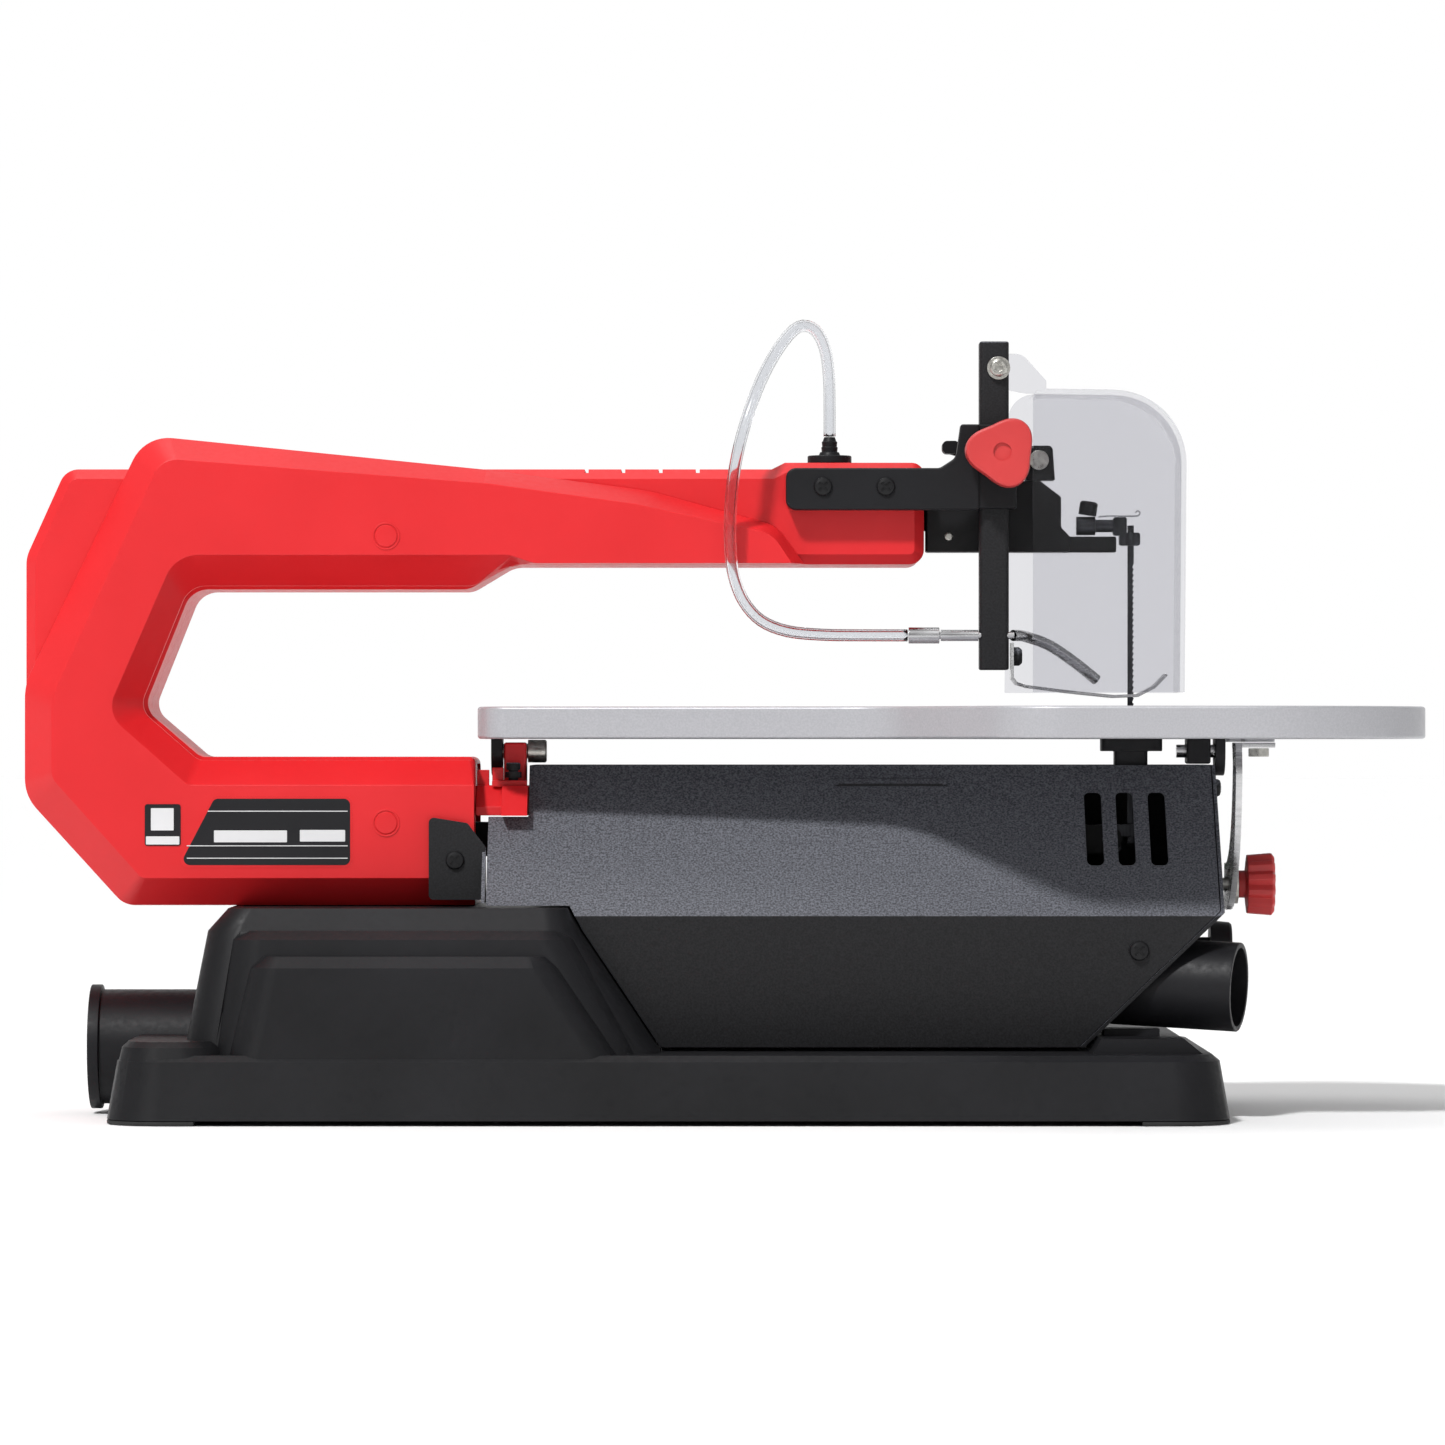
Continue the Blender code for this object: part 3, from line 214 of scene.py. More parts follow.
def set_inputs(node, values):
    """Values on a node's own sockets."""
    for socket, value in values.items():
        node.inputs[socket].default_value = value
    return node


def new_node(tree, kind, **values):
    """A node of a kind; an underscore in a socket's name stands for a space."""
    named = {socket.replace("_", " "): value for socket, value in values.items()}
    return set_inputs(tree.nodes.new("ShaderNode" + kind), named)


def start_material(name, colour, roughness, metallic=0):
    made = bpy.data.materials.new(name)
    made.use_nodes = True
    shader = made.node_tree.nodes["Principled BSDF"]
    set_inputs(shader, {"Base Color": (*colour, 1), "Roughness": roughness, "Metallic": metallic})
    return made, made.node_tree, shader


def noise(tree, scale, detail=4, stretch=(1, 1, 1)):
    """Noise in object space, its scale in features per metre."""
    where = new_node(tree, "TexCoord")
    squeeze = new_node(tree, "Mapping", Scale=stretch)
    texture = new_node(tree, "TexNoise", Scale=scale, Detail=detail)
    tree.links.new(where.outputs["Object"], squeeze.inputs["Vector"])
    tree.links.new(squeeze.outputs["Vector"], texture.inputs["Vector"])
    return texture.outputs["Fac"]


def spread(tree, value, low, high, new_low, new_high):
    """A value whose range is mapped to another range."""
    node = new_node(tree, "MapRange", From_Min=low, From_Max=high, To_Min=new_low, To_Max=new_high)
    tree.links.new(value, node.inputs["Value"])
    return node.outputs["Result"]


def two_tones(tree, value, dark, light, low=0.35, high=0.65):
    """A colour between a dark and a light tone by a value."""
    ramp = new_node(tree, "ValToRGB")
    for stop, position, colour in zip(ramp.color_ramp.elements, (low, high), (dark, light)):
        stop.position = position
        stop.color = (*colour, 1)
    tree.links.new(value, ramp.inputs["Fac"])
    return ramp.outputs["Color"]


def tint(tree, shader, value, dark, light, low=0.35, high=0.65):
    tree.links.new(two_tones(tree, value, dark, light, low, high), shader.inputs["Base Color"])


def gloss(tree, shader, value, low, high):
    """Roughness between two limits by a value."""
    tree.links.new(spread(tree, value, 0.3, 0.7, low, high), shader.inputs["Roughness"])


def relief(tree, shader, value, strength, depth):
    """Bump of a depth in metres."""
    bump = new_node(tree, "Bump", Strength=strength, Distance=depth)
    tree.links.new(value, bump.inputs["Height"])
    tree.links.new(bump.outputs["Normal"], shader.inputs["Normal"])


def moulded(name, dark, light, low, high, grain, strength, shine=0.5):
    """Injection-moulded plastic: slow colour drift and a fine eroded grain."""
    made, tree, shader = start_material(name, light, (low + high) / 2)
    shader.inputs["Specular IOR Level"].default_value = shine
    tint(tree, shader, noise(tree, 14), dark, light)
    gloss(tree, shader, noise(tree, 420), low, high)
    relief(tree, shader, noise(tree, grain, 6), strength, 0.0001)
    return made


def powder_coat(name):
    """Black powder-coated sheet with a fine wrinkle; its base colour is painted light: a lit grey
    granular tone on faces that point up, and a painted-shade near-black elsewhere.
    """
    made, tree, shader = start_material(name, (0.02, 0.02, 0.022), 0.5)
    grain = noise(tree, 1300, 2)
    # painted light and shade: the base colour is mixed from a shaded and a lit tone by how far each
    # face points up, not by the lamps
    facing = new_node(tree, "NewGeometry")
    split = new_node(tree, "SeparateXYZ")
    tree.links.new(facing.outputs["Normal"], split.inputs["Vector"])
    painted_light_by_facing = spread(tree, split.outputs["Z"], 0.15, 0.65, 0, 1)
    painted_shade_tone = two_tones(tree, grain, (0.009, 0.009, 0.01), (0.016, 0.016, 0.018))
    painted_lit_tone = two_tones(tree, grain, (0.05, 0.052, 0.06), (0.16, 0.165, 0.19))
    mix = new_node(tree, "Mix")
    mix.data_type = "RGBA"
    for source, socket in ((painted_light_by_facing, "Factor"), (painted_shade_tone, "A"), (painted_lit_tone, "B")):
        tree.links.new(source, mix.inputs[socket])
    tree.links.new(mix.outputs["Result"], shader.inputs["Base Color"])
    gloss(tree, shader, noise(tree, 640, 3), 0.45, 0.62)
    relief(tree, shader, grain, 0.3, 0.00015)
    shader.inputs["Specular IOR Level"].default_value = 0.25
    return made


def table_paint(name):
    """Silver-grey paint with fine metal flake."""
    made, tree, shader = start_material(name, (0.46, 0.46, 0.48), 0.42, 0.3)
    flake = noise(tree, 1400, 2)
    tint(tree, shader, flake, (0.42, 0.42, 0.445), (0.48, 0.48, 0.505), 0.35, 0.7)
    gloss(tree, shader, noise(tree, 180), 0.36, 0.46)
    relief(tree, shader, noise(tree, 700), 0.05, 0.0001)
    return made


def metal(name, dark, light, low, high, stretch):
    """Bright or plated steel, brushed along one axis."""
    made, tree, shader = start_material(name, light, (low + high) / 2, 1)
    brush = noise(tree, 500, 5, stretch)
    tint(tree, shader, brush, dark, light)
    gloss(tree, shader, brush, low, high)
    relief(tree, shader, brush, 0.08, 0.00005)
    return made


def clear(name, colour, low, high):
    """Clear plastic with faint haze."""
    made, tree, shader = start_material(name, colour, low)
    set_inputs(shader, {"Transmission Weight": 1, "IOR": 1.3})
    gloss(tree, shader, noise(tree, 60), low, high)
    return made


def matte_rubber(name):
    made, tree, shader = start_material(name, (0.014, 0.014, 0.014), 0.8)
    gloss(tree, shader, noise(tree, 300), 0.7, 0.88)
    relief(tree, shader, noise(tree, 1500), 0.3, 0.0002)
    return made


# every material by its maker; the names are the record's slots, and those of the plates
RECIPES = {
    # dark tone, light tone, roughness from, to, grains per metre, bump, specular level
    moulded: {
        "housing_red": ((0.66, 0.014, 0.018), (0.72, 0.018, 0.023), 0.36, 0.46, 1900, 0.08, 0.35),
        "knob_red": ((0.52, 0.03, 0.03), (0.62, 0.04, 0.04), 0.4, 0.5, 1500, 0.15),
        "button_green": ((0.02, 0.22, 0.05), (0.03, 0.28, 0.07), 0.3, 0.4, 1500, 0.15),
        "black_plastic": ((0.006, 0.006, 0.007), (0.011, 0.011, 0.013), 0.42, 0.56, 1300, 0.2, 0.22),
        "arm_metal": ((0.006, 0.006, 0.007), (0.011, 0.011, 0.012), 0.38, 0.5, 1100, 0.2, 0.25),
        "plate_black": ((0.008, 0.008, 0.01), (0.012, 0.012, 0.014), 0.3, 0.4, 900, 0.02, 0.3),
        "plate_white": ((0.68, 0.68, 0.69), (0.74, 0.74, 0.75), 0.3, 0.42, 900, 0.02),
    },
    # dark tone, light tone, roughness from, to, stretch of the brush marks
    metal: {
        "dark_steel": ((0.035, 0.036, 0.04), (0.075, 0.077, 0.085), 0.34, 0.5, (1, 1, 0.1)),
        "bright_steel": ((0.5, 0.5, 0.51), (0.66, 0.66, 0.67), 0.18, 0.32, (0.1, 1, 1)),
        "zinc_steel": ((0.42, 0.41, 0.38), (0.6, 0.59, 0.55), 0.26, 0.42, (1, 1, 1)),
    },
    # colour, roughness from, to
    clear: {
        "clear_guard": ((0.79, 0.79, 0.815), 0.03, 0.08),
        "clear_hose": ((0.84, 0.85, 0.87), 0.06, 0.14),
    },
    powder_coat: {"black_metal": ()},
    table_paint: {"table_silver": ()},
    matte_rubber: {"rubber": ()},
}

MATERIALS = {}
for make, named in RECIPES.items():
    MATERIALS.update({name: make(name, *values) for name, values in named.items()})


def dress(piece, finish):
    """A piece's one material."""
    piece.data.materials.clear()
    piece.data.materials.append(MATERIALS[finish])


def place(name, data, spot=(0, 0, 0), turn=(0, 0, 0)):
    """A new object in the scene, its place in metres."""
    made = bpy.data.objects.new(name, data)
    made.location = spot
    made.rotation_euler = turn
    bpy.context.scene.collection.objects.link(made)
    return made


def add(name, bm):
    """A finished mesh object, placed with its origin in its middle."""
    bmesh.ops.recalc_face_normals(bm, faces=bm.faces)
    spots = [v.co.copy() for v in bm.verts]
    low = Vector([min(p[i] for p in spots) for i in range(3)])
    high = Vector([max(p[i] for p in spots) for i in range(3)])
    middle = (low + high) / 2
    bmesh.ops.translate(bm, verts=bm.verts, vec=-middle)
    mesh = bpy.data.meshes.new(name + SUFFIX)
    bm.to_mesh(mesh)
    bm.free()
    return place(name + SUFFIX, mesh, middle)


def loft(name, rings, closed=False):
    """A solid through rings of equal length, capped at both ends unless closed on itself."""
    bm = bmesh.new()
    rows = [[bm.verts.new(point) for point in ring] for ring in rings]
    pairs = list(zip(rows, rows[1:]))
    if closed:
        pairs.append((rows[-1], rows[0]))
    else:
        bm.faces.new(rows[0])
        bm.faces.new(rows[-1])
    count = len(rows[0])
    for low, high in pairs:
        for i in range(count):
            j = (i + 1) % count
            bm.faces.new((low[i], low[j], high[j], high[i]))
    return add(name, bm)


def stacked(name, axis, outlines):
    """A solid through outlines of equal length, each with its distance along the axis."""
    return loft(name, [[at(axis, u, v, w) for u, v in outline] for outline, w in outlines])


def prism(name, outline, axis, low, high):
    return stacked(name, axis, ((outline, low), (outline, high)))


def slab(name, low, high, radius, axis, start, end):
    """A plate with rounded corners across an axis."""
    return prism(name, rounded(rectangle(low, high, radius)), axis, start, end)


def block(name, low, high):
    return slab(name, low[:2], high[:2], 0, "Z", low[2], high[2])


def turned(name, profile, centre, direction, sides=24, hollow=False):
    """A turned piece from (radius, distance along the axis); a hollow one's profile is a loop."""
    sides *= 2 if sides > 12 else 1
    turn = Vector(Z).rotation_difference(Vector(direction)).to_matrix()
    rings = []
    for radius, along in profile:
        ring = []
        for side in range(sides):
            angle = 2 * math.pi * (side + 0.5) / sides
            spot = Vector((radius * math.cos(angle), radius * math.sin(angle), along))
            ring.append((turn @ spot + Vector(centre)) * MM)
        rings.append(ring)
    return loft(name, rings, closed=hollow)


def pipe(name, outer, inner, length, centre, direction, sides=28):
    profile = [(outer, 0), (outer, length), (inner, length), (inner, 0)]
    return turned(name, profile, centre, direction, sides, hollow=True)


def bake(piece):
    """Put a piece's modifiers into its mesh."""
    bpy.context.view_layer.update()
    graph = bpy.context.evaluated_depsgraph_get()
    mesh = bpy.data.meshes.new_from_object(piece.evaluated_get(graph))
    piece.modifiers.clear()
    piece.data = mesh


def combine(piece, tool, operation):
    """Union, difference or intersection with a tool, which is used up."""
    modifier = piece.modifiers.new(operation.lower(), "BOOLEAN")
    modifier.operation = operation
    modifier.object = tool
    bake(piece)
    bpy.data.objects.remove(tool, do_unlink=True)
    return piece


def cut(piece, *tools):
    for tool in tools:
        combine(piece, tool, "DIFFERENCE")
    return piece


def join(piece, *tools):
    for tool in tools:
        combine(piece, tool, "UNION")
    return piece


def drill(piece, centre, direction, radius, length, sides=16):
    start = Vector(centre) - Vector(direction).normalized() * length / 2
    hole = turned("drill", [(radius, 0), (radius, length)], start, direction, sides)
    return cut(piece, hole)


def soften(piece, width, segments=3, angle=40):
    modifier = piece.modifiers.new("edges", "BEVEL")
    modifier.width = width * MM
    modifier.segments = segments
    modifier.limit_method = "ANGLE"
    modifier.angle_limit = math.radians(angle)
    bake(piece)
    return piece


def drafted(name, levels, shrink=0):
    """A block with sloping sides, or the hollow below it with walls of the shrunk distance."""
    outlines = []
    for number, (low, high, radius, height) in enumerate(levels):
        outline = rounded(moved_in(rectangle(low, high, radius), shrink))
        if shrink:
            height = height - shrink if number else 10
        outlines.append((outline, height))
    return stacked(name, "Z", outlines)


BASE_OUTLINE = rectangle((-245, -110), (202, 110), 22)


def make_base():
    low = rounded(BASE_OUTLINE, 4)
    high = rounded(rectangle((-241, -106), (198, 106), 20), 4)
    rim = rounded(rectangle((-238, -103), (195, 103), 18), 4)
    base = stacked("base", "Z", ((low, BASE_UNDER), (high, DECK_Z - 2.5), (rim, DECK_Z)))
    for number, levels in enumerate((HUMP, SHOULDER, BULGE, REAR_STEP)):
        join(base, drafted(f"block_{number}", levels))
    cut(base, slab("hollow", *BASE_INSIDE, 16, "Z", 0, DECK_Z - 4))
    for number, levels in enumerate((HUMP, SHOULDER, BULGE)):
        cut(base, drafted(f"inside_{number}", levels, 4))
    cut(base, turned("saddle", [(24.2, 0), (24.2, 70)], (-270, 0, 27), X))
    step = [(147, DECK_Z - 1), (150.8, 33.4), (184, 33.4), (192.5, DECK_Z - 1)]
    join(base, prism("front_step", step, "Y", -86, 86))
    join(base, block("dust_pipe_support", (153.6, -54, 33), (176, -36, 36.2)))


def make_feet():
    """Rubber corner pieces under the base's rim, each with a plug inside the rim."""
    corners = [(x, y) for x in (-1, 1) for y in (-1, 1)]
    for number, (x, y) in enumerate(corners, 1):
        sides = ((-300, -209) if x < 0 else (166, 300), (-300, -76) if y < 0 else (76, 300))
        low, high = zip(*sides)
        foot = prism(f"foot_{number}", rounded(BASE_OUTLINE, 4), "Z", 0, BASE_UNDER - GAP)
        plug = prism("plug", rounded(moved_in(rectangle(*BASE_INSIDE, 16), GAP)), "Z", 1, 9)
        join(foot, plug)
        combine(foot, block("corner", (*low, -1), (*high, 12)), "INTERSECT")


def make_dust_pipes():
    profile = [(23.4, 0), (23.4, 41), (25.4, 41), (25.4, 45.5), (21, 45.5), (21, 0)]
    turned("rear_dust_pipe", profile, (-213, 0, 27), (-1, 0, 0), 32, hollow=True)
    pipe("front_dust_pipe", 18, 15.8, DUST_LENGTH, DUST_START, DUST_DIRECTION)


# the body seen from the side, which trims both side panels
SIDE_OUTLINE = [
    (-95, 160), (-95, 86), (-61.4, 86), (-56.2, 76.2), (-24.9, 29), (143, 29), (FRONT_X, 84),
    (FRONT_X, 160),
]


def folded(points, thickness):
    """A folded sheet's section: the points, and the same moved inwards by the thickness."""
    inner = []
    for i, point in enumerate(points):
        here = Vector(point)
        sides = []
        for a, b in ((i - 1, i), (i, i + 1)):
            if 0 <= a and b < len(points):
                run = (Vector(points[b]) - Vector(points[a])).normalized()
                sides.append(Vector((-run.y, run.x)))
        normal = sum(sides, Vector((0, 0))) / len(sides)
        inner.append(tuple(here + normal * (thickness / normal.length_squared)))
    return list(points) + inner[::-1]


def dust_pipe_way():
    return turned("way", [(18.4, 0), (18.4, 90)], DUST_START, DUST_DIRECTION)


def make_left_panel():
    section = folded([PANEL_TOP, PANEL_FOLD, PANEL_FOOT], SHEET)
    panel = prism("left_side_panel", section, "X", -110, 210)
    combine(panel, prism("trim", SIDE_OUTLINE, "Y", -90, 20), "INTERSECT")
    cut(panel, block("ledge_gap", (-120, -60, 121.4), (-78.8, 0, 160)))
    for x in (150.5, 163.3, 176.4):
        cut(panel, slab("slot", (x - 3.4, 102), (x + 3.4, 131), 2, "Y", -75, 0))
    cut(panel, dust_pipe_way())


def make_right_panel():
    corners = [(-8.3, PANEL_TOP[1]), (PANEL_RIGHT, PANEL_TOP[1]), (PANEL_RIGHT, 29)]
    panel = prism("right_side_panel", folded(corners, -SHEET), "X", -78, 210)
    combine(panel, prism("trim", SIDE_OUTLINE, "Y", -20, 90), "INTERSECT")
    cut(panel, block("blade_gap", (150, -12, 130), (184, 12, 150)))
    drill(panel, (CRANK_X, PANEL_RIGHT, CRANK_Z), Y, 6, 20)


def make_front_panel():
    """The front wall, with its lower part sloped back to the deck."""
    profile = folded([(143.2, 29), (FRONT_X + GAP, 84), (FRONT_X + GAP, 142.4)], -SHEET)
    panel = prism("front_panel", profile, "Y", -90, 90)
    section = [PANEL_TOP, PANEL_FOLD, PANEL_FOOT, (PANEL_RIGHT, 29), (PANEL_RIGHT, PANEL_TOP[1])]
    combine(panel, prism("trim", section, "X", 100, 230), "INTERSECT")
    cut(panel, dust_pipe_way())
    drill(panel, (FRONT_X, 0, STUD_Z), X, 3.4, 20)
    for z in (START_Z, STOP_Z):
        drill(panel, (FRONT_X, CONTROLS_Y, z), X, BUTTON_HOLE, 20)
    drill(panel, (FRONT_X, *DIAL), X, 3.3, 20)


def make_rear_flange():
    """The black tab that laps over the red housing, turned out of the body's rear wall."""
    flange = prism("rear_flange", rounded([(-45, 87), (-45, 109), (-63, 87)]), "X", -97, -95.5)
    tab = rounded([(-118.6, 88, 2), (-95.8, 88), (-95.8, 109.5), (-103, 119, 2), (-118.6, 121.5, 2)])
    join(flange, prism("tab", tab, "Y", -46.4, -44.9))
    drill(flange, across(FLANGE_SCREW, -45), Y, 2.3, 10)


# each corner of the left cover: its outline, then the same corner of the flat face
COVER_CORNERS = [
    ((-100.4, 85.5, 0), (-100.4, 96.7, 0)),
    ((-242.9, 85.5, 10), (-234.8, 96.7, 4)),
    ((-283.3, 129.8, 18), (-271.2, 137.2, 8)),
    ((-283.3, 175.2, 25), (-271.2, 169.9, 28)),
    ((-234.6, 276.3, 16), (-226.8, 266.5, 10)),
    ((-95, 262.2, 60), (-95, 256.3, 60)),
    ((-30, 253.8, 90), (-35, 248, 90)),
    ((22, 239.5, 14), (20, 236, 12)),
    ((33.3, ARM_UNDER, 0), (28.1, ARM_UNDER, 0)),
    ((-84, ARM_UNDER, 12), (-76, ARM_UNDER, 6)),
    ((-101, 215.1, 10), (-86, 227.4, 6)),
    ((-216.6, 215.1, 10), (-221.1, 227.4, 14)),
    ((-236.8, 165.3, 8), (-249, 163.4, 11)),
    ((-212.9, 144.4, 6), (-216, 134.3, 4)),
    ((-100.4, 144.4, 3), (-100.4, 134.3, 0.5)),
]


def moved_in(corners, distance, open_ends=()):
    """Corners moved inwards by a wall thickness; those named keep their place along X."""
    count = len(corners)
    pairs = [(corners[i - 1], corners[i]) for i in range(count)]
    side = 1 if sum(a[0] * b[1] - b[0] * a[1] for a, b in pairs) > 0 else -1
    out = []
    for i, corner in enumerate(corners):
        here = Vector(corner[:2])
        back = (here - Vector(corners[i - 1][:2])).normalized()
        ahead = (Vector(corners[(i + 1) % count][:2]) - here).normalized()
        normal = Vector((-back.y, back.x)) + Vector((-ahead.y, ahead.x))
        shift = normal * (side * distance * 2 / normal.length_squared)
        radius = corner[2] if len(corner) > 2 else 0
        turning = side * (back.x * ahead.y - back.y * ahead.x)
        radius = radius - distance if turning > 0 else radius + distance * (radius > 0)
        moved = here + shift
        out.append((moved.x, moved.y, max(radius, 0.5) if corner[2:] and corner[2] else 0))
    for index, x in open_ends:
        out[index] = (x, *out[index][1:])
    return out


def make_left_cover():
    """The thick near cover: straight at its edge, then sloping to a flat face, and hollow."""
    outer, face = zip(*COVER_CORNERS)
    ends = ((0, -97), (len(outer) - 1, -97))
    back = SHELL_LEFT - GAP
    shoulder = back - 2.5
    edge, flat = rounded(outer), rounded(face)
    cover = stacked("left_frame_cover", "Y", ((edge, back), (edge, shoulder), (flat, COVER_FACE)))
    edge, flat = rounded(moved_in(outer, WALL, ends)), rounded(moved_in(face, 1.4, ends))
    hollow = ((edge, back + 2), (edge, shoulder), (flat, COVER_FACE + 2.6))
    cut(cover, stacked("hollow", "Y", hollow))


# the far housing seen from the side
SHELL_CORNERS = [
    (-100.4, 85.5, 0), (-242.9, 85.5, 10), (-283.3, 129.8, 18), (-283.3, 227, 14),
    (-267.2, 262.7, 8), (20, 262.7, 0), (25.4, 265.4, 0), (82, 265.4, 5), (82, ARM_UNDER, 6),
    (-86, ARM_UNDER, 12), (-103, 213.8, 10), (-216, 213.8, 10), (-235.3, 165.4, 8),
    (-212.4, 145.7, 6), (-100.4, 145.7, 3),
]


def make_shell(name, low, high, wall_at_low):
    """Half of the housing: a side wall and the wall around its edge, open at the middle."""
    last = len(SHELL_CORNERS) - 1
    full = rounded(SHELL_CORNERS)
    face = rounded(moved_in(SHELL_CORNERS, CHAMFER, ((0, -100.4), (last, -100.4))))
    side, edge, middle = (low, low + CHAMFER, high) if wall_at_low else (high, high - CHAMFER, low)
    shell = stacked(name, "Y", ((face, side), (full, edge), (full, middle)))
    inner = moved_in(SHELL_CORNERS, WALL)
    for index in (0, last):
        inner[index] = (-90, inner[index][1], 0)
    floor, mouth = (low + WALL, high + 1) if wall_at_low else (low - 1, high - WALL)
    cut(shell, prism("inside", rounded(inner), "Y", floor, mouth))
    ledge_y = (-18, high) if wall_at_low else (low, 14)
    join(shell, block("brow", (-104, ledge_y[0], 125), (-101, ledge_y[1], 144.3)))
    join(shell, block("ledge", (-102, ledge_y[0], 125), (-79.1, ledge_y[1], 134)))
    if wall_at_low:
        near = [(-16, 134), (-29.5, 134), (-41.5, 121.9), (-16, 121.9)]
        join(shell, prism("near_ledge", near, "X", -89.5, -79.1))
    nose_y = (-10, high + 1) if wall_at_low else (low - 1, 10)
    cut(shell, block("nose_gap", (76, nose_y[0], 228.5), (90, nose_y[1], 261)))
    return shell


def add_grip_ridges(shell, low, high):
    """Shallow grooves across the top of the arm."""
    for x in (-55.3, -40.4, -25.2, -10.1):
        cut(shell, block("groove", (x - 0.8, low - 1, 261.2), (x + 0.8, high + 1, 264)))


def make_housing():
    left = make_shell("left_frame_shell", SHELL_LEFT, -GAP / 2, True)
    right = make_shell("right_frame_shell", GAP / 2, SHELL_RIGHT, False)
    add_grip_ridges(left, SHELL_LEFT, 0)
    add_grip_ridges(right, 0, SHELL_RIGHT)
    drill(left, (*FITTING, 265), Z, 3.3, 12)
    make_left_cover()
    post = block("rear_trunnion_post", (-89.4, -8.5, 134.3), (-80.2, 8.5, 151.6))
    soften(post, 1)
    drill(post, (-85, 0, TILT_Z), X, 3.3, 30)


def eye(centre, radius, start, end):
    return arc(centre, radius, start, end, 6)


def make_upper_arm():
    outline = (
        [(130, 258.5), (83.2, 258.5), (83.2, 250.5), (-205, 246)]
        + eye((PIVOT_X, UPPER_Z), 11, 60, 120)
        + eye((LINK_X, UPPER_Z), 7, 110, 250)
        + eye((PIVOT_X, UPPER_Z), 11, 240, 300)
        + [(-205, 232), (83.2, 238.5), (83.2, 229.4), (161.3, 229.4), (161.3, 235.9), (142, 235.9)]
        + [(138.5, 239.5), (138.5, 252)]
    )
    arm = prism("upper_arm", outline, "Y", -7.5, 7.5)
    plan = block("slim", (-300, -5, 200), (83.2, 5, 300))
    join(plan, block("head", (83.2, -7.5, 200), (142, 7.5, 300)))
    join(plan, block("tip", (142, -3, 200), (170, 3, 300)))
    combine(arm, plan, "INTERSECT")
    soften(arm, 0.8)
    drill(arm, (PIVOT_X, 0, UPPER_Z), Y, 4.4, 40)
    drill(arm, (LINK_X, 0, UPPER_Z), Y, 3.4, 40)


def make_tension_lever():
    outline = [(124, 258.9), (136, 258.9), (135, 273, 2), (125.5, 273, 2)]
    fork = prism("tension_block", rounded(outline), "Y", -7, 7)
    cut(fork, block("slot", (100, -2.9, 261), (140, 2.9, 290)))
    drill(fork, across(LEVER_PIVOT), Y, 2.4, 30)
    outline = eye(LEVER_PIVOT, 4.6, -70, 80) + [(112, 271), (92, 275), (90, 270.5), (112, 264.5)]
    lever = prism("tension_lever", outline, "Y", -2.5, 2.5)
    soften(lever, 0.6)
    join(lever, slab("grip", (90, 269.8), (97, 275), 2, "Y", -6, 6))
    drill(lever, across(LEVER_PIVOT), Y, 2.4, 30)
    profile = [(2, -7.5), (2, 7.6), (4, 7.6), (4, 9.4)]
    turned("tension_lever_pin", profile, across(LEVER_PIVOT), NEAR, 16)


def make_motor():
    centre = (CRANK_X, 0, CRANK_Z)
    profile = [(35, PANEL_RIGHT + GAP), (38, 62), (38, 104), (36, 107)]
    housing = turned("motor_housing", profile, centre, Y, 32)
    cut(housing, turned("bore", [(4.4, 50), (4.4, 80)], centre, Y, 16))
    cap = turned("motor_end_cap", [(35, 107.3), (33, 115), (28, 117.5)], centre, Y, 32)
    for step in range(6):
        x, z = polar((CRANK_X, CRANK_Z), 20, math.radians(60 * step))
        drill(cap, (x, 117.5, z), Y, 3, 12, 10)


def make_blade_clamps():
    upper = slab("upper_blade_clamp", (162.6, 232.2), (171, 237.5), 1, "Y", -4, 4)
    join(upper, slab("hook", (160, 236.3), (165.6, 243.8), 1, "Y", -3, 3))
    barrel = [(3.8, 145), (3.8, 152.7), (2.6, 152.9), (2.6, 161)]
    join(upper, turned("barrel", barrel, (0, 0, 240.3), X, 16))
    cut(upper, block("slot", (165.7, -0.6, 230), (175, 0.6, 245)))
    profile = [(3.7, 0.7), (3.7, 5.6), (2.9, 6.4)]
    turned("upper_clamp_knob", profile, (149.4, 0, 244), (0.15, 0, 1), 16)
    lower = slab("lower_blade_clamp", (152.5, 107), (163.2, 118), 1, "Y", -4, 4)
    join(lower, block("claw", (163, -4, 113.2), (171, 4, 118)))
    cut(lower, block("slot", (165.7, -0.6, 100), (175, 0.6, 125)))
    join(lower, turned("pin", [(2.5, -7.4), (2.5, 7.4)], (158, 0, LOWER_Z), Y, 16))


# the table seen from above
TABLE_CORNERS = [
    (-99, -54, 14), (62, -66, 40), (118, -TABLE_HALF, 40), (283.3, -TABLE_HALF, 78),
    (283.3, TABLE_HALF, 78), (118, TABLE_HALF, 40), (62, 66, 40), (-99, 54, 14),
]


def make_table():
    table = prism("table", rounded(TABLE_CORNERS, 14), "Z", RIM_BOTTOM, TABLE_TOP)
    soften(table, 1.2)
    pocket = rounded(moved_in(TABLE_CORNERS, 4), 14)
    cut(table, prism("pocket", pocket, "Z", RIM_BOTTOM - 3, TABLE_UNDER))
    for y in (-52, 52):
        join(table, slab("boss", (209.4, y - 8), (222, y + 8), 2, "Z", 151.8, TABLE_UNDER + 1))
    seat = turned("seat", [(24.3, 163), (24.3, 170)], (BLADE_X, 0, 0), Z, 32)
    hole = turned("hole", [(21.5, 150), (21.5, 170)], (BLADE_X, 0, 0), Z, 32)
    cut(table, seat, hole)


def make_insert():
    profile = [(24, 163.3), (24, TABLE_TOP - 0.1)]
    insert = turned("table_insert", profile, (BLADE_X, 0, 0), Z, 32)
    cut(insert, slab("slot", (BLADE_X - 2.6, -2), (BLADE_X + 2.6, 20.5), 1.5, "Z", 160, 170))


